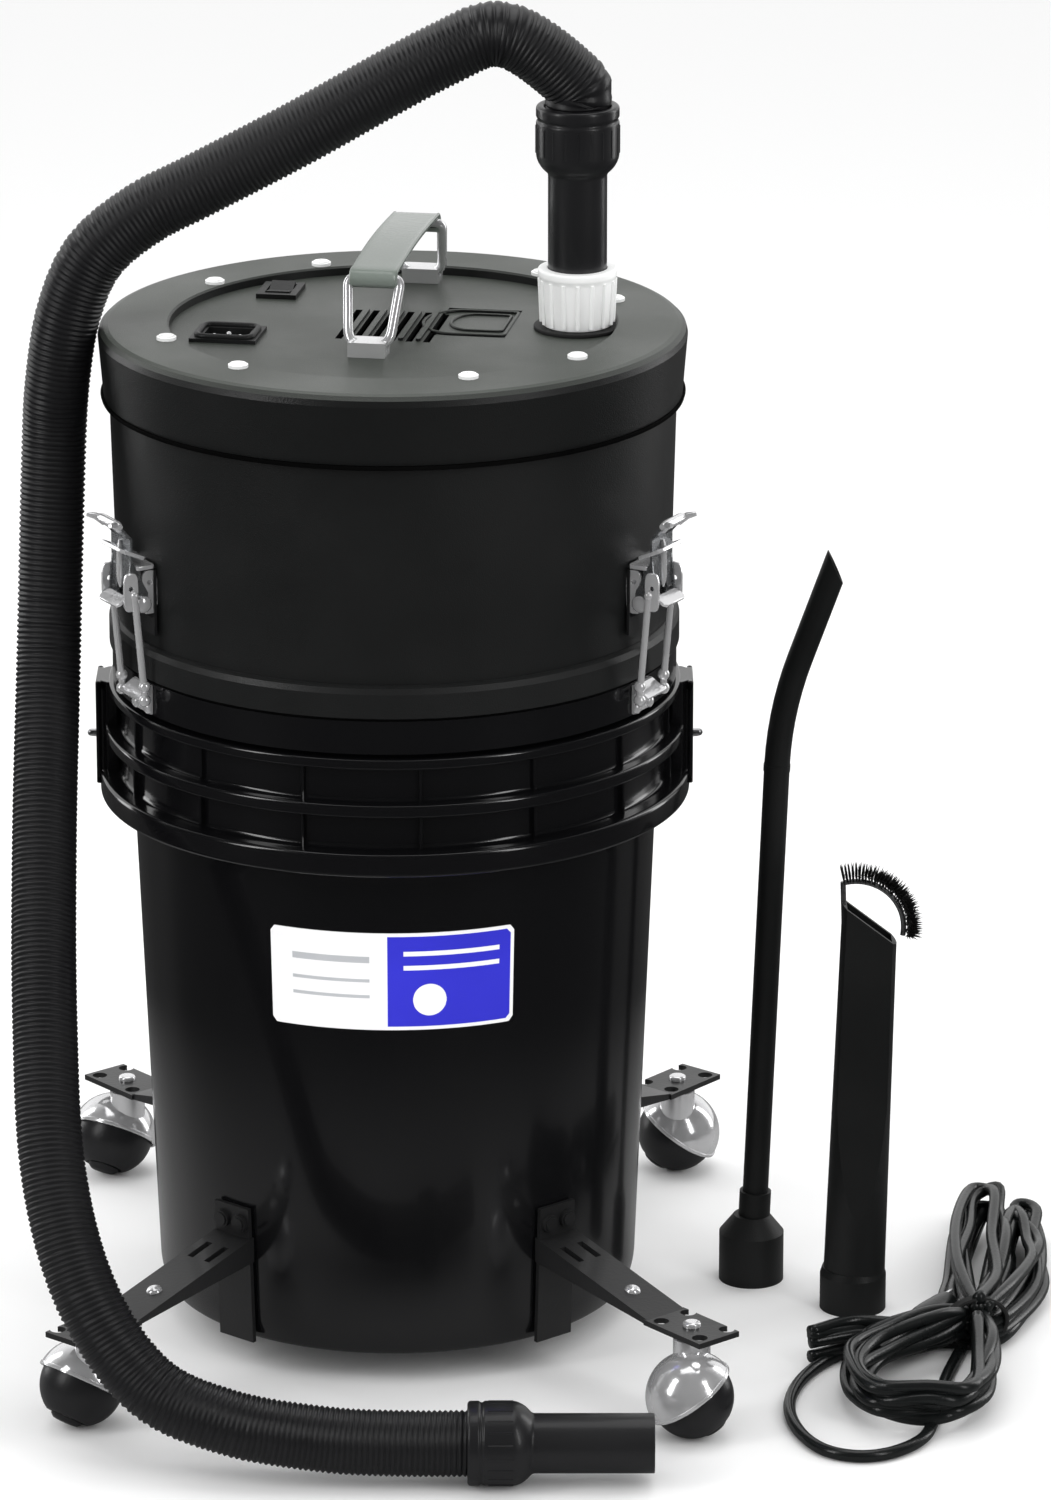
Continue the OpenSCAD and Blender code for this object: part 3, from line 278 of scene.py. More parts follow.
def lathe(profile, segments=96, closed=True):
    """Turns (radius, height) points about Z; a point on the axis becomes one vertex."""
    verts, faces, rings = [], [], []
    for r, z in profile:
        if r < 1e-7:
            rings.append([len(verts)] * segments)
            verts.append((0, 0, z))
        else:
            rings.append(list(range(len(verts), len(verts) + segments)))
            for k in range(segments):
                a = 2 * math.pi * k / segments
                verts.append((r * math.cos(a), r * math.sin(a), z))
    pairs = list(zip(rings, rings[1:]))
    if closed:
        pairs.append((rings[-1], rings[0]))
    for lower, upper in pairs:
        for k in range(segments):
            m = (k + 1) % segments
            face = [lower[k], lower[m], upper[m], upper[k]]
            face = [v for i, v in enumerate(face) if v != face[i - 1]]
            if len(face) > 2:
                faces.append(tuple(face))
    return verts, faces


def frames_along(points, side):
    """Tangent and two cross directions at each point of a path."""
    p = np.array(points, float)
    t = np.gradient(p, axis=0)
    t /= np.linalg.norm(t, axis=1)[:, None]
    side = np.array(side, float)
    u = side - (t @ side)[:, None] * t
    u /= np.linalg.norm(u, axis=1)[:, None]
    return p, t, u, np.cross(t, u)


def sweep(points, radii, side=(0, 1, 0), sides=16, loop=False, section=None):
    """A bar along a path: round, or of a given section.

    radii is one number, one per point, or one per point and side.
    """
    if loop:
        points = [points[-1], *points, points[0]]
    p, t, u, v = frames_along(points, side)
    if loop:
        p, u, v = p[1:-1], u[1:-1], v[1:-1]
    n = len(p)
    if section is None:
        angles = 2 * math.pi * np.arange(sides) / sides
        section = np.stack([np.cos(angles), np.sin(angles)], 1)
    section = np.array(section, float)
    sides = len(section)
    radii = np.array(radii, float)
    if radii.ndim < 2:
        radii = np.broadcast_to(radii.reshape(-1, 1), (n, sides))
    rings = p[:, None] + radii[:, :,
                               None] * (section[None, :, :1] * u[:, None] + section[None, :, 1:] * v[:,
                                   None])
    verts = [tuple(x) for x in rings.reshape(-1, 3)]
    faces = []
    for i in range(n if loop else n - 1):
        a, b = i * sides, ((i + 1) % n) * sides
        faces += [(a + k, a + (k + 1) % sides, b + (k + 1) % sides, b + k) for k in range(sides)]
    if not loop:
        faces.append(tuple(range(sides - 1, -1, -1)))
        faces.append(tuple((n - 1) * sides + k for k in range(sides)))
    return verts, faces


def catmull(keys, steps):
    """A smooth path through the keys, ends included."""
    k = [np.array(x, float) for x in keys]
    k = [2 * k[0] - k[1], *k, 2 * k[-1] - k[-2]]
    out = []
    for i in range(1, len(k) - 2):
        a, b, c, d = k[i - 1 : i + 3]
        for j in range(steps):
            t = j / steps
            cubic = (3 * b - a - 3 * c + d) * t**3
            out.append(0.5 * (2 * b + (c - a) * t + (2 * a - 5 * b + 4 * c - d) * t * t + cubic))
    out.append(k[-2])
    return np.array(out)


def even(path, spacing):
    """The same path with points an even distance apart."""
    path = np.array(path, float)
    d = np.concatenate([[0], np.cumsum(np.linalg.norm(np.diff(path, axis=0), axis=1))])
    n = max(2, int(d[-1] / spacing) + 1)
    s = np.linspace(0, d[-1], n)
    return np.stack([np.interp(s, d, path[:, i]) for i in range(3)], 1)


def brick(size, centre=(0, 0, 0), round_by=0.0):
    """A box with chamfered upright corners."""
    x, y, z = (v / 2 for v in size)
    c = min(round_by, x * 0.9, y * 0.9)
    outline = [(-x + c, -y), (x - c, -y), (x, -y + c), (x, y - c), (x - c, y), (-x + c, y), (-x, y - c),
               (-x, -y + c)]
    if c <= 0:
        outline = [(-x, -y), (x, -y), (x, y), (-x, y)]
    n = len(outline)
    cx, cy, cz = centre
    verts = [(a + cx, b + cy, cz - z) for a, b in outline] + [(a + cx, b + cy, cz + z) for a, b in outline]
    faces = [tuple(range(n - 1, -1, -1)), tuple(range(n, 2 * n))]
    faces += [(i, (i + 1) % n, n + (i + 1) % n, n + i) for i in range(n)]
    return verts, faces


def box(node):
    """Lowest and highest corners of a CAD node, in millimetres."""
    return [np.array(corner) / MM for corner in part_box(node)]


# ---------------------------------------------------------------- pail

BASE_Z, RIM_Z = box("bucket")[0][2], box("bucket")[1][2]
EAR_FACE, RING_R = box("bucket")[1][0], box("bucket")[1][1]
BASE_R = RING_R - 29
BODY_TOP_R = RING_R - 18.5
WALL = 2.4
LOW_RING = RIM_Z - 82
MID_RING = LOW_RING + 32
TOP_RING = LOW_RING + 58
GROOVE_R = RING_R - 11
NECK_R = RING_R - 13
TAPER_Z = LOW_RING - 9
BAIL_Z = next(j for j in record["behaviour"]["joints"] if j["name"] == "bail_swing")["pos_m"][2] / MM


def pail_r(z):
    return BASE_R + (BODY_TOP_R - BASE_R) * (z - BASE_Z - 10) / (TAPER_Z - BASE_Z - 10)


def pail_profile():
    corners = [
        (0, BASE_Z + 3, 0), (BASE_R - 14, BASE_Z + 3, 1), (BASE_R - 12, BASE_Z, 1), (BASE_R - 3, BASE_Z, 3),
        (BASE_R, BASE_Z + 10, 6), (BODY_TOP_R, TAPER_Z, 4), (BODY_TOP_R + 1.5, LOW_RING, 4),
        (RING_R, LOW_RING, 2.6), (RING_R, LOW_RING + 13, 2.6), (GROOVE_R, LOW_RING + 13, 3),
        (GROOVE_R, MID_RING, 2.4), (RING_R - 3, MID_RING, 1.8), (RING_R - 3, MID_RING + 7, 1.8),
        (GROOVE_R, MID_RING + 7, 2.4), (GROOVE_R, TOP_RING, 2.4), (RING_R - 5, TOP_RING, 1.6),
        (RING_R - 5, TOP_RING + 5.5, 1.6), (NECK_R, TOP_RING + 5.5, 2), (NECK_R, RIM_Z, 1.2),
        (NECK_R - 3.5, RIM_Z, 1.2), (NECK_R - 3.5, LOW_RING, 3), (BODY_TOP_R - WALL, TAPER_Z, 3),
        (BASE_R - WALL, BASE_Z + 10, 4), (BASE_R - 12, BASE_Z + 5.5, 2), (0, BASE_Z + 5.5, 0),
    ]
    return fillet([c[:2] for c in corners], [c[2] for c in corners], 5)


def pail_webs():
    parts = []
    spans = ((LOW_RING + 12, MID_RING + 1, GROOVE_R + 3.5), (MID_RING + 6, TOP_RING + 1, GROOVE_R + 2.5))
    for k in range(15):
        az = math.radians(-132 + 24 * k)
        turn = Matrix.Rotation(az, 4, "Z")
        for low, high, r in spans:
            middle = ((r + GROOVE_R) / 2 - 1, 0, (low + high) / 2)
            web = brick((r - GROOVE_R + 2, 1.8, high - low), middle, 0.5)
            parts.append(move(web, turn))
    return join(parts)


def pail_ears():
    parts = []
    for side in (0, math.pi):
        turn = Matrix.Rotation(side, 4, "Z")
        low, high = LOW_RING + 6, TOP_RING + 5
        block = brick((EAR_FACE - NECK_R - 1, 30, high - low),
                      ((EAR_FACE + NECK_R) / 2 - 1.5, 0, (low + high) / 2), 4)
        frame_bars = [
            brick((3, 32, 4), (EAR_FACE - 1.5, 0, low + 2), 1),
            brick((3, 32, 5), (EAR_FACE - 1.5, 0, high - 2.5), 1),
            brick((3, 3.4, high - low), (EAR_FACE - 1.5, -14.3, (low + high) / 2), 1),
            brick((3, 3.4, high - low), (EAR_FACE - 1.5, 14.3, (low + high) / 2), 1),
        ]
        boss = move(lathe([(0, 0), (7, 0), (7, 2.2), (5.6, 3), (3.4, 3), (3.2, 1), (0, 1)], 32, False),
                    Matrix.Translation((EAR_FACE - 2.8, 0, BAIL_Z)) @ Matrix.Rotation(math.pi / 2, 4, "Y"))
        parts += [move(part, turn) for part in (block, *frame_bars, boss)]
    return join(parts)


piece("pail_shell", *lathe(pail_profile(), 160, False), "black_gloss", "pail", stands_for=["bucket"],
      sharp=60)
piece("pail_webs", *pail_webs(), "black_gloss", "pail", smooth=False)
bevel(piece("pail_ears", *pail_ears(), "black_gloss", "pail"), 1.2 * MM, 3)

# ---------------------------------------------------------------- label

LABEL_LOW, LABEL_HIGH = box("label")[0][2], box("label")[1][2]
LABEL_R = pail_r((LABEL_LOW + LABEL_HIGH) / 2)
LABEL_HALF = 66.5


def decal(name, left, right, low, high, lift, mat, columns=24, thick=0.12):
    """A thin film on the pail, its lower and upper edges given as functions of the place across."""
    verts, faces = [], []
    for i in range(columns + 1):
        across = left + (right - left) * i / columns
        a = math.radians(-90) + across / LABEL_R
        for up in (low(across), high(across)):
            z = LABEL_LOW + up
            for out in (lift, lift + thick):
                r = pail_r(z) + out
                verts.append((r * math.cos(a), r * math.sin(a), z))
    for i in range(columns):
        a, b = 4 * i, 4 * i + 4
        faces += [(a + 1, b + 1, b + 3, a + 3), (a, a + 2, b + 2, b), (a, b, b + 1, a + 1),
                  (a + 2, a + 3, b + 3, b + 2)]
    end = 4 * columns
    faces += [(0, 1, 3, 2), (end, end + 2, end + 3, end + 1)]
    return piece(name, verts, faces, mat, "pail", smooth=False, slot="label_film",
                 stands_for=["label"] if name == "label_sheet" else ())


def rounded_edges(left, right, low, high, r):
    def inset(x):
        d = min(x - left, right - x)
        return r - math.sqrt(max(0, r * r - (r - d) ** 2)) if d < r else 0
    return (lambda x: low + inset(x)), (lambda x: high - inset(x))


def flat(value):
    return lambda x: value


label_h = LABEL_HIGH - LABEL_LOW
decal("label_sheet", -LABEL_HALF, LABEL_HALF, *rounded_edges(-LABEL_HALF, LABEL_HALF, 0, label_h, 3), 0.1,
      "label_white", 60, 0.3)
decal("label_panel", -2.5, LABEL_HALF - 2, *rounded_edges(-20, LABEL_HALF - 2, 2, label_h - 2, 2.5), 0.41,
      "label_blue", 30, 0.06)
for row, (left, right, up) in enumerate(((-54, -12, 38), (-54, -12, 27), (-54, -12, 18))):
    decal(f"label_line_{row}", left, right, flat(up), flat(up + (3.6 if row == 0 else 1.8)), 0.41,
          "label_grey", 16, 0.05)
for row, (left, right, up) in enumerate(((6, 58, 42), (6, 58, 34))):
    decal(f"label_bar_{row}", left, right, flat(up), flat(up + 2.6), 0.48, "label_white", 16, 0.05)

DISC_X, DISC_UP, DISC_R = 20, 17, 9


def disc_half(x):
    return math.sqrt(max(0, DISC_R**2 - (x - DISC_X) ** 2))


decal("label_disc", DISC_X - 0.995 * DISC_R, DISC_X + 0.995 * DISC_R, lambda x: DISC_UP - disc_half(x),
      lambda x: DISC_UP + disc_half(x), 0.48, "label_white", 28, 0.05)

# ---------------------------------------------------------------- hose

PORT_X = (box("upper_cuff")[0][0] + box("upper_cuff")[1][0]) / 2
PORT_Y = (box("upper_cuff")[0][1] + box("upper_cuff")[1][1]) / 2
CUFF_LOW, CUFF_TOP = box("upper_cuff")[0][2], box("upper_cuff")[1][2]
TOOL_X0, TOOL_X1 = box("tool_cuff")[0][0], box("tool_cuff")[1][0]
TOOL_Y = (box("tool_cuff")[0][1] + box("tool_cuff")[1][1]) / 2
TOOL_Z = (box("tool_cuff")[0][2] + box("tool_cuff")[1][2]) / 2
HOSE_R = 17.5
HOSE_LEFT = box("hose")[0][0] + HOSE_R
CREST_Z = 716
RIB_PITCH = 2.9
RIB_DEPTH = 1.15
STEPS_A_RIB = 6
HOSE_SIDES = 28


def hose_line():
    """From inside the upper cuff, over the crest, down the left side and along the floor."""
    start = np.array([PORT_X, PORT_Y, CUFF_TOP - 9])
    out, top, front = HOSE_LEFT, CREST_Z, TOOL_Y
    keys = [
        start - [0, 0, 20], start, start + [0, 0, 11], start + [-2, -1, 22], (60.1, -4, top),
        (25.6, -5, top - 11), (-48.3, -7, top - 52), (-101.5, -8, top - 80), (-132, -8, top - 96),
        (28 + out, -8, top - 118), (14 + out, -8, top - 148), (7 + out, -8, top - 186),
        (4 + out, -10, top - 230), (1 + out, -34, top - 330), (out, -88, top - 420),
        (2 + out, -145, top - 500), (8 + out, -192, top - 570), (26 + out, -226, top - 625),
        (58 + out, -246, top - 667), (100 + out, -258, TOOL_Z + 10), (150 + out, front + 1, TOOL_Z + 2),
        (190 + out, front, TOOL_Z), (TOOL_X0 + 9, front, TOOL_Z), (TOOL_X0 + 40, front, TOOL_Z),
    ]
    line = catmull(keys, 8)
    return line[8:-8]


line = even(hose_line(), RIB_PITCH / STEPS_A_RIB)
places = np.arange(len(line))[:, None] / STEPS_A_RIB
around = np.arange(HOSE_SIDES)[None, :] / HOSE_SIDES
wave = 0.5 + 0.5 * np.cos(2 * math.pi * (places + around))
hose_radii = HOSE_R - RIB_DEPTH * (1 - wave**0.7)
piece("hose_ribbed", *sweep(line, hose_radii, sides=HOSE_SIDES), "hose_black", "hose_line",
      stands_for=["hose"], sharp=180)

# ---------------------------------------------------------------- cuffs and port

COLLAR_R = 22.2
TUBE_R = 15.75
BORE_R = 14
UPPER_COLLAR, TOOL_COLLAR, TOOL_TUBE = 35, 32, 66


def cuff_profile(tube, collar):
    """From the tube's mouth to the collar's mouth, along the cuff."""
    full = tube + collar
    corners = [
        (BORE_R, 0, 0.6), (TUBE_R, 0, 0.6), (TUBE_R, tube - 2, 1.5), (COLLAR_R - 2.6, tube + 1.5, 3),
        (COLLAR_R, tube + 6.5, 4), (COLLAR_R, full - 9, 1), (COLLAR_R - 0.8, full - 8, 0.5),
        (COLLAR_R - 0.8, full - 7, 0.5), (COLLAR_R, full - 6, 1), (COLLAR_R, full, 3),
        (HOSE_R + 0.3, full, 1.5), (HOSE_R + 0.3, full - 12, 0), (BORE_R, full - 12, 0),
    ]
    return fillet([c[:2] for c in corners], [c[2] for c in corners], 5)


def grips(inner, outer, low, high, count, width):
    """Small raised bars round a collar."""
    parts = []
    for k in range(count):
        bar = brick((outer - inner, width, high - low), ((outer + inner) / 2, 0, (low + high) / 2),
                    width * 0.3)
        parts.append(move(bar, Matrix.Rotation(2 * math.pi * k / count, 4, "Z")))
    return join(parts)


upper_at = Matrix.Translation((PORT_X, PORT_Y, CUFF_LOW))
tool_at = Matrix.Translation((TOOL_X1, TOOL_Y, TOOL_Z)) @ Matrix.Rotation(-math.pi / 2, 4, "Y")
upper_tube = CUFF_TOP - CUFF_LOW - UPPER_COLLAR
piece("upper_cuff_moulded", *move(lathe(cuff_profile(upper_tube, UPPER_COLLAR), 96), upper_at),
      "cuff_black", "hose_line", stands_for=["upper_cuff"], slot="hose_black")
piece("tool_cuff_moulded", *move(lathe(cuff_profile(TOOL_TUBE, TOOL_COLLAR), 96), tool_at),
      "cuff_black", "hose_end",
      stands_for=["tool_cuff"], slot="hose_black")
piece("upper_cuff_grips",
      *move(grips(COLLAR_R - 1, COLLAR_R + 0.35, upper_tube + 9, upper_tube + 24, 20, 1.6), upper_at),
      "cuff_black", "hose_line", smooth=False, slot="hose_black")
piece("tool_cuff_grips",
      *move(grips(COLLAR_R - 1, COLLAR_R + 0.25, TOOL_TUBE + 8, TOOL_TUBE + 21, 20, 1.6), tool_at),
      "cuff_black", "hose_end", smooth=False, slot="hose_black")

PORT_LOW = box("port_adapter")[0][2]
port_corners = [
    (16.1, 0, 0), (18.2, 0, 0.8), (18.9, 6, 1), (20.2, 25, 2), (20.6, 26.3, 1), (21.2, 27.6, 1.2),
    (21.2, 31.5, 1.4), (16.1, 31.5, 1),
]
port = lathe(fillet([c[:2] for c in port_corners], [c[2] for c in port_corners], 4), 120)
port_at = Matrix.Translation((PORT_X, PORT_Y, PORT_LOW))
piece("port_collar", *move(port, port_at), "white_plastic", "head", stands_for=["port_adapter"])


def port_ribs():
    parts = []
    for k in range(16):
        rib = brick((2, 2.2, 24), (19.1, 0, 14.5), 0.7)
        lean = Matrix.Rotation(math.radians(2.6), 4, "Y")
        parts.append(move(rib, Matrix.Rotation(2 * math.pi * k / 16, 4, "Z") @ lean))
    return join(parts)


piece("port_ribs", *move(port_ribs(), port_at), "white_plastic", "head", smooth=False)
washer = fillet([(17, 0), (23.4, 0), (23.4, 1.9), (17, 1.9)], 0.6, 4, True)
piece("port_washer", *move(lathe(washer, 72), Matrix.Translation((PORT_X, PORT_Y, PORT_LOW - 1.9))),
      "rubber_black", "head", stands_for=["port_gasket"])

LID_LOW, LID_EDGE = box("lid")[0][2], box("lid")[1][0]
# A black ring just under the lid's skirt: painted shadow standing in for the shade in the gap between lid
# and housing.
GAP_SHADE_IN, GAP_SHADE_OUT, GAP_SHADE_DEPTH = LID_EDGE - 5.5, LID_EDGE - 0.9, -2.2
gap_shade_profile = [(GAP_SHADE_IN, 0.3), (GAP_SHADE_IN, GAP_SHADE_DEPTH), (LID_EDGE - 1.6, GAP_SHADE_DEPTH), (GAP_SHADE_OUT, 0.3)]
gap_shade_profile = fillet(gap_shade_profile, 0.4, 3, True)
piece("lid_gap_shade_ring", *move(lathe(gap_shade_profile, 160), Matrix.Translation((0, 0, LID_LOW))), "seam_black", "head",
      slot="rubber_black")

# ---------------------------------------------------------------- handle

LID_TURN = math.radians(-9.5)
FLOOR_Z = box("switch_bezel")[1][2] - 2.5
HANDLE_X, HANDLE_Y, HANDLE_SPAN = -3, -55, 161
GRIP_H = 37
LOOP_LEAN = 18
LOOP_FOOT_Z = 4.4
on_lid = Matrix.Rotation(LID_TURN, 4, "Z") @ Matrix.Translation((0, 0, FLOOR_Z))


def strap_line():
    """Round the front bar, along the top and round the rear bar, in the lid's frame."""
    front, rear = HANDLE_Y + LOOP_LEAN, HANDLE_Y + HANDLE_SPAN - LOOP_LEAN
    wrap = 4.1
    pts = []
    for k in range(9):
        a = math.radians(300 - 210 * k / 8)
        pts.append((HANDLE_X, front + wrap * math.cos(a), GRIP_H + wrap * math.sin(a)))
    for k in range(1, 24):
        t = k / 24
        pts.append((HANDLE_X, front + (rear - front) * t, GRIP_H + wrap + 2.2 * math.sin(math.pi * t)))
    for k in range(9):
        a = math.radians(90 - 210 * k / 8)
        pts.append((HANDLE_X, rear + wrap * math.cos(a), GRIP_H + wrap * math.sin(a)))
    return pts


def strap_section(width, thick):
    """Flat in the middle with a bead along each edge."""
    half, bead = width / 2, thick / 2
    top = [(-half + bead + x * (width - 2 * bead) / 12, thick * 0.32) for x in range(13)]
    right = [(half - bead + bead * math.cos(a), bead * math.sin(a))
             for a in np.radians([60, 30, 0, -30, -60])]
    under = [(x, -y) for x, y in reversed(top)]
    left = [(-x, -y) for x, y in right]
    return list(reversed(top + right + under + left))


piece("handle_strap", *move(sweep(strap_line(), 1, side=(1, 0, 0), section=strap_section(26, 3.4)), on_lid),
      "strap_black", "head", stands_for=["handle_grip"], slot="grip_grey")


def loop_line(foot, top_half, foot_half):
    """A rounded wire loop from the foot's bore up to the strap's barrel."""
    y0 = HANDLE_Y if foot == 0 else HANDLE_Y + HANDLE_SPAN
    y1 = y0 + (LOOP_LEAN if foot == 0 else -LOOP_LEAN)
    corners = [(-foot_half, y0, LOOP_FOOT_Z), (foot_half, y0, LOOP_FOOT_Z), (top_half, y1, GRIP_H),
               (-top_half, y1, GRIP_H)]
    line = fillet(corners, [9.5, 9.5, 5, 5], 6, True)
    return [(HANDLE_X + x, y, z) for x, y, z in line]


for foot, end in ((0, "front"), (1, "rear")):
    piece(f"handle_loop_{end}",
          *move(sweep(loop_line(foot, 14.2, 11), 2.7, side=(0.02, 1, 0.3), sides=20, loop=True), on_lid),
          "zinc", "head", stands_for=["handle_loops"], sharp=180)

# ---------------------------------------------------------------- lid details


def outline_bar(points, r, sides=10):
    return sweep(points, r, side=(0, 0, 1), sides=sides, loop=True)


def dee(cx, cy, width, length, z):
    """A plate shape: square at one side, round at the other."""
    pts = [(cx + width / 2, cy - length / 2, z), (cx + width / 2, cy + length / 2, z)]
    pts += [
        (cx - width / 4 + (width / 2) * math.cos(a), cy + (length / 2) * math.sin(a), z)
        for a in np.radians(np.linspace(90, 270, 17))
    ]
    return fillet(pts, [3, 3] + [0] * 17, 4, True)


piece("lid_plate_rim", *move(outline_bar(dee(42, 20, 38, 50, -0.3), 1.1), on_lid), "lid_grey", "head")
piece("lid_plate_step", *move(outline_bar(dee(46, 22, 24, 34, -0.5), 0.9), on_lid), "lid_grey", "head")
for k in range(5):
    slot = brick((2.6, 60, 1.6), (HANDLE_X - 22 + 4.75 + 9.5 * k, 6, 0.6), 1.2)
    piece(f"lid_vent_bar_{k}", *move(slot, on_lid), "lid_grey", "head", smooth=False)
inlet_line = fillet([(-99, -42, 2.6), (-69, -42, 2.6), (-69, -16, 2.6), (-99, -16, 2.6)], 6, 5, True)
inlet_ring = sweep(inlet_line, 1.7, side=(0, 0, 1), sides=12, loop=True)
piece("inlet_rim", *move(inlet_ring, on_lid), "black_matte", "head")
for k in (-1, 0, 1):
    pin = fillet([(0, 0), (1.5, 0), (1.5, 7.5), (1, 8.4), (0, 8.6)], [0, 0, 0.5, 0.5, 0], 3)
    spot = Matrix.Translation((-84 + 7 * k, -29 + (3 if k == 0 else -2), -7))
    piece(f"inlet_pin_{k + 1}", *move(lathe(pin, 20, False), on_lid @ spot), "zinc", "head")

# ---------------------------------------------------------------- latches

LATCH_AZ = {"left": -150, "right": -30, "back": 90}
LEVER_PIN_R, LEVER_PIN_Z = 158, 428
LEVER_OFF, LEVER_LEN, LEVER_HALF = 7, 40, 11.1
KEEPER_FACE, KEEPER_RIVET_Z = 152.6, 369
LOOP_HALF, LOOP_BAR_R, LOOP_KNUCKLE, LOOP_WIRE_R = 13, 158.6, 1.7, 1.9
LOOP_PIN_R, LOOP_PIN_Z = LEVER_PIN_R + 6, LEVER_PIN_Z + 6
CHEEK_R, CHEEK_Y, BRIDGE_Z = 153.8, 10.2, LEVER_PIN_Z + 20
PLATE_R, PLATE_Y, PLATE_Z = LEVER_PIN_R + 8, 12.6, LEVER_PIN_Z + 8
FIN_R, FIN_Z, FIN_LEAN = 163.5, LEVER_PIN_Z + 28, -24
FLARE_R, FLARE_Z, FLARE_LEAN = 170, LEVER_PIN_Z + 2.5, 32
RIVET_BASE_R, RIVET_R = 151.9, 3.4


def dome(r, h, rings=5):
    return [(r * math.cos(a), h * math.sin(a)) for a in np.linspace(0, math.pi / 2, rings)]


def stud(r, h):
    """A domed rivet head standing along +X."""
    profile = [(0, -0.6), (r, -0.6), *dome(r, h)]
    profile[-1] = (0, h)
    return move(lathe(profile, 28, False), Matrix.Rotation(math.pi / 2, 4, "Y"))


def holed_plate(half, height, thick, hole, up, steps=32):
    """A rounded upright plate in the radial plane with one hole through it."""
    angles = 2 * math.pi * np.arange(steps) / steps
    round_off = lambda v: np.sign(v) * np.abs(v) ** 0.55
    outer = np.stack([half * round_off(np.cos(angles)), height / 2 * round_off(np.sin(angles))], 1)
    inner = np.stack([hole * np.cos(angles), up + hole * np.sin(angles)], 1)
    verts = [(x, y, z) for y in (-thick / 2, thick / 2) for ring in (outer, inner) for x, z in ring]
    faces = []
    for a, b in ((0, 1), (1, 3), (3, 2), (2, 0)):
        faces += [(a * steps + k, a * steps + (k + 1) % steps, b * steps + (k + 1) % steps, b * steps + k)
                  for k in range(steps)]
    return verts, faces


def bead(r, centre):
    """A small ball."""
    ball = [(0, -r), *[(r * math.cos(a), r * math.sin(a)) for a in np.radians(np.linspace(-75, 75, 9))],
            (0, r)]
    return move(lathe(ball, 20, False), Matrix.Translation(centre))


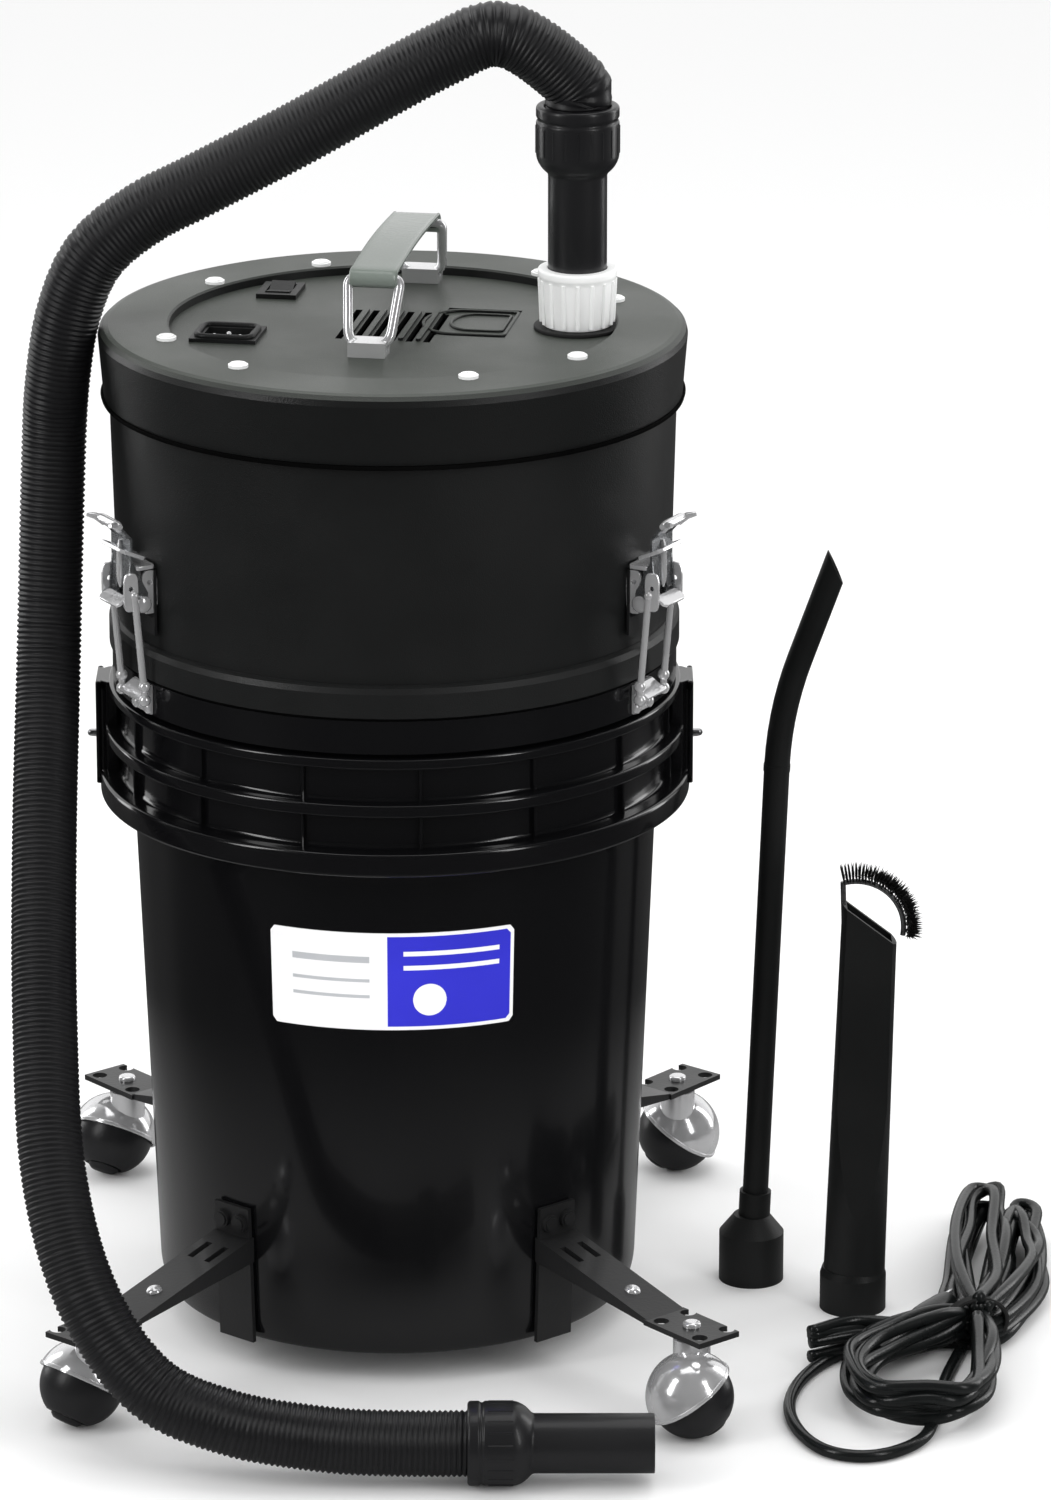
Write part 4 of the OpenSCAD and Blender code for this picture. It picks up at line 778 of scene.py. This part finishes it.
for side, az in LATCH_AZ.items():
    turn = Matrix.Rotation(math.radians(az), 4, "Z")
    lever_at = turn @ Matrix.Translation((LEVER_PIN_R, 0, LEVER_PIN_Z))
    curl = [(LEVER_OFF + 6.6, y, LEVER_LEN + 4.6) for y in np.linspace(-12.4, 12.4, 9)]
    radii = [1.6, 2.5, 2.7, 2.7, 2.7, 2.7, 2.7, 2.5, 1.6]
    horns = []
    for s in (-1, 1):
        horn = [
            (LEVER_OFF + 5, s * 8, LEVER_LEN + 2), (LEVER_OFF + 9, s * 11, LEVER_LEN + 5.5),
            (LEVER_OFF + 13, s * 13.5, LEVER_LEN + 6.5),
        ]
        horns.append(sweep(horn, [2, 1.9, 1.2], side=(0, 0, 1), sides=12))
    rib_line = [(LEVER_OFF + 0.6, 0, z) for z in np.linspace(8, LEVER_LEN - 6, 9)]
    rib = sweep(rib_line, [0.6, 1.6, 2, 2, 2, 2, 2, 1.6, 0.6], side=(0, 1, 0), sides=14)
    top = join([sweep(curl, radii, side=(0, 0, 1), sides=16), rib, *horns])
    piece(f"lever_curl_{side}", *move(top, lever_at), "zinc", f"lever_body_{side}")
    eyes = []
    for s in (-1, 1):
        out = Matrix.Rotation(s * math.pi / 2, 4, "Z")
        eyes.append(move(stud(4.6, 1.7), Matrix.Translation((0, s * (LEVER_HALF + 0.9), 0)) @ out))
    piece(f"lever_eyes_{side}", *move(join(eyes), lever_at), "zinc", f"lever_body_{side}")
    heads = []
    for s in (-1, 1):
        heads.append(move(stud(RIVET_R, 2),
                          Matrix.Translation((KEEPER_FACE + 1.5, s * 20 / 3, KEEPER_RIVET_Z))))
        heads.append(move(stud(RIVET_R, 1.8),
                          Matrix.Translation((RIVET_BASE_R, s * 6.5, LEVER_PIN_Z + 12))))
    piece(f"latch_heads_{side}", *move(join(heads), turn), "zinc", "head")
    cheek = holed_plate(4.6, 24, 1.6, 1.4, 5.5)
    cheeks = [move(cheek, Matrix.Translation((CHEEK_R, s * CHEEK_Y, LOOP_PIN_Z))) for s in (-1, 1)]
    bridge = brick((11, 24, 2.2), (156.5, 0, BRIDGE_Z), 1.2)
    bevel(piece(f"latch_cheeks_{side}", *move(join([*cheeks, bridge]), turn), "zinc", "head"), 0.3 * MM)
    plate = holed_plate(4.2, 21, 1.6, 1.3, 2)
    plates = [move(plate, Matrix.Translation((PLATE_R, s * PLATE_Y, PLATE_Z))) for s in (-1, 1)]
    fin_at = Matrix.Translation((FIN_R, 0, FIN_Z)) @ Matrix.Rotation(math.radians(FIN_LEAN), 4, "Y")
    flare_at = Matrix.Translation((FLARE_R, 0, FLARE_Z)) @ Matrix.Rotation(math.radians(FLARE_LEAN), 4, "Y")
    fin = move(brick((17, 24, 2), (0, 0, 0), 2), fin_at)
    flare = move(brick((8, 22, 1.8), (0, 0, 0), 2), flare_at)
    stamping = move(join([*plates, fin, flare]), turn)
    bevel(piece(f"lever_cheeks_{side}", *stamping, "zinc", f"lever_body_{side}"), 0.3 * MM)
    foot_z = box(f"loop_{side}")[0][2] + LOOP_KNUCKLE
    wire = [
        (LOOP_PIN_R, -LOOP_HALF, LOOP_PIN_Z), (LOOP_BAR_R, -LOOP_HALF, foot_z),
        (LOOP_BAR_R, LOOP_HALF, foot_z), (LOOP_PIN_R, LOOP_HALF, LOOP_PIN_Z),
    ]
    wire = even(fillet(wire, [0, 2.5, 2.5, 0], 5), 2.5)
    loop = [sweep(wire, LOOP_WIRE_R, side=(1, 0, 0.2), sides=14)]
    loop += [bead(3.3, (LOOP_BAR_R + 0.4, s * LOOP_HALF, foot_z + up)) for s in (-1, 1) for up in (0.4, 8)]
    loop += [bead(2.4, (LOOP_PIN_R, s * LOOP_HALF, LOOP_PIN_Z)) for s in (-1, 1)]
    piece(f"loop_wire_{side}", *move(join(loop), turn), "zinc", f"loop_body_{side}",
          stands_for=[f"loop_{side}"])

# ---------------------------------------------------------------- casters

PIN_R = 247
BALL_BACK, BALL_FACE = -13.8, 19.1
ARM_AZ = {"front_right": -50, "front_left": -130, "back_right": 50, "back_left": 130}
joint_of = {j["name"]: j for j in record["behaviour"]["joints"]}
BALL_R = joint_of["roll_front_right"]["pos_m"][2] / MM


def along(axis):
    return Vector((0, 0, 1)).rotation_difference(Vector(axis)).to_matrix().to_4x4()


for corner in ARM_AZ:
    roll = joint_of[f"roll_{corner}"]
    centre = Vector([c / MM for c in roll["pos_m"]])
    at = Matrix.Translation(centre) @ along(roll["axis"])
    ends = np.arcsin(np.array([BALL_BACK, BALL_FACE]) / BALL_R)
    ball = [(BALL_R * math.cos(a), BALL_R * math.sin(a)) for a in np.linspace(*ends, 24)]
    groove = [(3.4, BALL_BACK), *ball, (10.6, BALL_FACE), (9.8, BALL_FACE - 0.8), (3.4, BALL_FACE - 0.8)]
    piece(f"ball_{corner}", *move(lathe(groove, 72), at), "ball_tyre", f"ball_{corner}",
          stands_for=[f"wheel_{corner}"])
    cap = [(0, 19.35), (9, 19.35), (8.7, 20.3), (6.9, 21.9), (3.4, 22.3), (0, 22.4)]
    piece(f"hub_{corner}", *move(lathe(cap, 40, False), at), "ball_tyre", f"caster_{corner}")
    rim = BALL_R + 1
    band = fillet([(rim, -3.2), (rim + 1.6, -3.2), (rim + 1.6, -1.2), (rim, -1.2)], 0.4, 3, True)
    piece(f"hood_lip_{corner}", *move(lathe(band, 72), at), "zinc", f"caster_{corner}")
    head = [(0, 58.65), (4.9, 58.65), (4.9, 60.2), (4.4, 60.9), (3.2, 61.3), (0, 61.4)]
    head_at = Matrix.Rotation(math.radians(ARM_AZ[corner]), 4, "Z") @ Matrix.Translation((PIN_R, 0, 0))
    piece(f"kingpin_head_{corner}", *move(lathe(head, 28, False), head_at), "zinc", f"caster_{corner}")

# (distance from the pail's axis, height) of the arm's upper face at the pail and at its tip plate.
ARM_FOOT, ARM_TIP, STUD_R = (133.9, 78), (226, 58.6), 199
slope = (ARM_FOOT[1] - ARM_TIP[1]) / (ARM_TIP[0] - ARM_FOOT[0])
stud_z = ARM_TIP[1] + slope * (ARM_TIP[0] - STUD_R)
upright = Matrix.Rotation(math.atan(slope) - math.pi / 2, 4, "Y")
for corner, az in ARM_AZ.items():
    at = Matrix.Rotation(math.radians(az), 4, "Z") @ Matrix.Translation((STUD_R, 0, stud_z)) @ upright
    piece(f"arm_stud_{corner}", *move(stud(4.4, 2.4), at), "zinc", "pail")

# ---------------------------------------------------------------- brush

BRUSH_R = 29.5
NOZZLE_Y = (box("crevice_brush")[0][1] + box("crevice_brush")[1][1]) / 2
BRUSH_X = box("crevice_brush")[1][0] - BRUSH_R - 5.5
BRUSH_Z = box("crevice_brush")[1][2] - BRUSH_R - 5.5


def bow(angle, r=BRUSH_R):
    a = math.radians(angle)
    return np.array([BRUSH_X + r * math.cos(a), NOZZLE_Y, BRUSH_Z + r * math.sin(a)])


TUFT_TURNS, TUFT_HAIRS = 34, 16
TUFT_FROM, TUFT_SPAN = -10, 115


def bristles():
    parts = []
    for k in range(TUFT_TURNS):
        angle = TUFT_FROM + TUFT_SPAN * (k + 0.5) / TUFT_TURNS
        centre, tangent = bow(angle), bow(angle + 1) - bow(angle)
        tangent /= np.linalg.norm(tangent)
        normal = np.cross((0, 1, 0), tangent)
        normal *= np.sign(normal @ (centre - np.array([BRUSH_X, NOZZLE_Y, BRUSH_Z])))
        for j in range(TUFT_HAIRS):
            a = math.radians(-115 + 230 * (j + 0.5) / TUFT_HAIRS) + rng.uniform(-0.12, 0.12)
            out = math.cos(a) * normal + math.sin(a) * np.array([0, 1, 0])
            tip = centre + out * rng.uniform(7.0, 8.6) + tangent * rng.uniform(-0.8, 0.8)
            across = np.cross(out, tangent) * 0.75
            along_t = tangent * 0.75
            root = centre + out * 0.6
            verts = [tuple(root + across), tuple(root + along_t), tuple(root - across),
                     tuple(root - along_t), tuple(tip)]
            faces = [(0, 1, 4), (1, 2, 4), (2, 3, 4), (3, 0, 4), (3, 2, 1, 0)]
            parts.append((verts, faces))
    return join(parts)


wire_points = [(BRUSH_X - 6, NOZZLE_Y, BRUSH_Z - 2), (BRUSH_X - 6.6, NOZZLE_Y, BRUSH_Z + 14),
               (BRUSH_X - 7, NOZZLE_Y, BRUSH_Z + 26)]
wire_points += [tuple(bow(a, BRUSH_R - 3.2)) for a in np.linspace(103, -10, 40)]
piece("brush_wire", *sweep(wire_points, 1.5, side=(0, 1, 0), sides=12), "wire_steel", "nozzle",
      stands_for=["crevice_brush"], slot="wire_steel")
piece("brush_bristles", *bristles(), "bristle_black", "nozzle", smooth=False, slot="black_matte")

# ---------------------------------------------------------------- power cord

CORD_X, CORD_Y = 309, -32
CORD_R = 3.3
# Height of a run, then the places it passes, measured from the hank's middle.
STRANDS = {
    "end_a": (10, [(13, 153), (4, 106), (-3, 45), (-4, 0), (2, -36), (8, -58)]),
    "up_a": (14, [(7, -53), (2, 5), (6, 65), (16, 119), (25, 127), (31, 104), (26, 50),
                  (17, -10), (8, -53)]),
    "up_right": (10, [(12, -51), (27, -36), (44, 15), (50, 75), (47, 114), (41, 119), (33, 91),
                      (29, 45), (17, -14), (10, -50)]),
    "up_inner": (18, [(12, -53), (29, -17), (42, 28), (45, 58), (43, 88), (37, 99), (30, 73),
                      (25, 28), (13, -39)]),
    "end_b": (16, [(47, 133), (40, 103), (33, 60), (27, 15), (16, -37), (9, -56)]),
    "low": (12, [(10, -49), (13, -92), (7, -134), (-7, -159), (-29, -164), (-50, -159), (-62, -131),
                 (-59, -94), (-46, -70), (-18, -48), (2, -41)]),
    "low_inner": (20, [(7, -68), (8, -118), (-2, -160), (-24, -167), (-47, -160), (-57, -132),
                       (-47, -100), (-19, -75), (-1, -57)]),
    "wedge": (9, [(-84, -72), (-60, -60), (-32, -50), (-8, -42), (8, -46)]),
    "ring": (4, [(4, -46), (-20, -47), (-43, -50), (-69, -64), (-88, -95), (-97, -132), (-94, -167),
                 (-82, -194), (-64, -204), (-45, -199), (-28, -180), (-20, -150), (-12, -100), (0, -52)]),
}
COPIES = {"up_a": 6, "up_right": 4, "up_inner": 4, "low": 5, "low_inner": 4, "wedge": 5}


def strand(points, height, spread):
    """One run of cord lying over the hank, wandering a little from its keys."""
    keys = []
    for i, (x, y) in enumerate(points):
        wander = 0 if i in (0, len(points) - 1) else spread
        lift = height + rng.uniform(-1, 1) * min(spread, 3)
        keys.append((CORD_X + x + rng.uniform(-wander, wander), CORD_Y + y + rng.uniform(-wander, wander),
                     max(CORD_R + 0.4, lift)))
    return sweep(catmull(keys, 7), CORD_R, side=(0, 0, 1), sides=12)


runs = []
for name, (height, points) in STRANDS.items():
    for copy in range(COPIES.get(name, 1)):
        runs.append(strand(points, height - 4 + 4 * copy, 0 if name == "ring" else 4.5))
piece("cord_hank", *join(runs), "cord_black", "cord", stands_for=["power_cord"], sharp=180)

plug_line = [(CORD_X - 47 + 40 * t, CORD_Y - 88 + 62 * t, 16 + 2 * t) for t in np.linspace(0, 1, 15)]
plug_radii = [3.3, 3.8, 4.6, 4.3, 5.1, 4.8, 5.8, 7.3, 8.3, 8.8, 8.8, 8.7, 8.4, 8.2, 7.5]
piece("cord_plug", *sweep(plug_line, plug_radii, side=(0, 0, 1), sides=24), "cord_black", "cord")
blades = []
for s in (-1, 1):
    heading = math.atan2(62, 40)
    blade = brick((15, 1.5, 6.2), (7.5, 5.5 * s, 0), 0.4)
    blades.append(move(blade, Matrix.Translation(plug_line[-1]) @ Matrix.Rotation(heading, 4, "Z")))
piece("plug_blades", *join(blades), "zinc", "cord", smooth=False)

tie_loop = [
    (CORD_X + 7 + 17 * math.cos(a), CORD_Y - 50 + 6 * math.cos(a), 17 + 14 * math.sin(a))
    for a in np.linspace(0, 2 * math.pi, 33)[:-1]
]
tie_section = [(-2.6, -1.1), (2.6, -1.1), (3, 0), (2.6, 1.1), (-2.6, 1.1), (-3, 0)]
piece("cord_wrap", *sweep(tie_loop, 1, side=(-0.3, 1, 0), section=tie_section, loop=True), "rubber_black",
      "cord", stands_for=["cord_tie"])

# ---------------------------------------------------------------- edges of the CAD parts

ROUNDED = {
    "lid": 1.0, "housing": 0.8, "adapter_ring": 0.8, "keeper_hooks": 0.3, "latch_bases": 0.3,
    "lever_left": 0.35, "lever_right": 0.35, "lever_back": 0.35, "arm_front_right": 0.5,
    "arm_front_left": 0.5, "arm_back_right": 0.5, "arm_back_left": 0.5, "handle_feet": 0.8,
    "switch_bezel": 0.5, "rocker": 0.4, "power_inlet": 0.5, "wand_cuff": 0.8,
    "crevice_nozzle": 0.7, "wand_tube": 0.4, "lid_screws": 0.3, "bail_grip": 0.8,
    "caster_collars": 0.4, "arm_bolts": 0.3,
}
for name, width in ROUNDED.items():
    bevel(nodes[name], width * MM)
for name, obj in nodes.items():
    soften(obj, 38)


# ---------------------------------------------------------------- stage


def area(name, location, target, size, power, shape="RECTANGLE"):
    light = bpy.data.lights.new(name, "AREA")
    light.shape = shape
    light.size, light.size_y = size
    light.energy = power
    obj = bpy.data.objects.new(name, light)
    obj.location = location
    obj.rotation_euler = (Vector(target) - Vector(location)).to_track_quat("-Z", "Y").to_euler()
    bpy.context.scene.collection.objects.link(obj)
    return obj


def glossy_switch(tree, seen, mirrored):
    """Plain value for what the camera and the light see, another for reflections."""
    path = tree.nodes.new("ShaderNodeLightPath")
    node = tree.nodes.new("ShaderNodeMix")
    node.data_type = "FLOAT"
    tree.links.new(path.outputs["Is Glossy Ray"], node.inputs[0])
    for slot, value in ((2, seen), (3, mirrored)):
        if isinstance(value, float):
            node.inputs[slot].default_value = value
        else:
            tree.links.new(value, node.inputs[slot])
    return node.outputs[0]


floor_mesh = bpy.data.meshes.new("floor")
REACH = 8.0
corners = [(-REACH, -REACH, 0), (REACH, -REACH, 0), (REACH, REACH, 0), (-REACH, REACH, 0)]
floor_mesh.from_pydata(corners, [], [(0, 1, 2, 3)])
floor_obj = bpy.data.objects.new("floor", floor_mesh)
bpy.context.scene.collection.objects.link(floor_obj)
floor_shader = Shader("floor_white", (0.93, 0.93, 0.93), 0.7)
floor_shader.bsdf.inputs["Specular IOR Level"].default_value = 0.2
# In reflections only, the floor's colour is painted darker away from the object: painted shade standing in
# for a small paper sweep in a dim room.
near = floor_shader.tree.nodes.new("ShaderNodeVectorMath")
near.operation = "LENGTH"
floor_shader.link(floor_shader.coords.outputs["Object"], near.inputs[0])
lit = floor_shader.ramp(near.outputs["Value"], 0.2, 0.55, 0.3, 0.015)
grey = glossy_switch(floor_shader.tree, 0.93, lit)
tone = floor_shader.tree.nodes.new("ShaderNodeCombineColor")
for channel in ("Red", "Green", "Blue"):
    floor_shader.link(grey, tone.inputs[channel])
floor_shader.link(tone.outputs["Color"], floor_shader.bsdf.inputs["Base Color"])
floor_mesh.materials.append(floor_shader.mat)

world = bpy.data.worlds.new("studio")
bpy.context.scene.world = world
world.use_nodes = True
background = world.node_tree.nodes["Background"]
background.inputs["Color"].default_value = (1, 1, 1, 1)
# Reflections see a bright backdrop behind the object and a dim room in front of it.
heading = world.node_tree.nodes.new("ShaderNodeTexCoord")
split = world.node_tree.nodes.new("ShaderNodeSeparateXYZ")
world.node_tree.links.new(heading.outputs["Generated"], split.inputs[0])
fade = world.node_tree.nodes.new("ShaderNodeMapRange")
for socket, value in (("From Min", 0.1), ("From Max", 0.75), ("To Min", 0.02), ("To Max", 0.9)):
    fade.inputs[socket].default_value = value
world.node_tree.links.new(split.outputs["Y"], fade.inputs["Value"])
mirrored = glossy_switch(world.node_tree, 1.0, fade.outputs["Result"])
world.node_tree.links.new(mirrored, background.inputs["Strength"])

area("key_left", (-1.9, -1.2, 1.5), (0, 0, 0.3), (0.5, 1.8), 15)
area("key_right", (1.7, -1.6, 1.4), (0, 0, 0.3), (0.35, 1.8), 10)
area("top", (0, 0.3, 2.2), (0, 0, 0.2), (1.6, 1.6), 12)
area("rim_left", (-1.6, 1.0, 0.8), (0, 0, 0.3), (0.4, 1.6), 6)
area("rim_right", (1.7, 0.9, 0.8), (0, 0, 0.3), (0.4, 1.6), 6)
bpy.context.scene.view_settings.view_transform = "Standard"

camera_data = bpy.data.cameras.new("camera")
camera_data.lens = 185.52
camera_data.clip_end = 50
camera = bpy.data.objects.new("camera", camera_data)
camera.location = (0.065, -4.0, 1.602)
aim = Vector((0.0708, 0, 0.3187)) - Vector(camera.location)
camera.rotation_euler = aim.to_track_quat("-Z", "Y").to_euler()
bpy.context.scene.collection.objects.link(camera)
bpy.context.scene.camera = camera
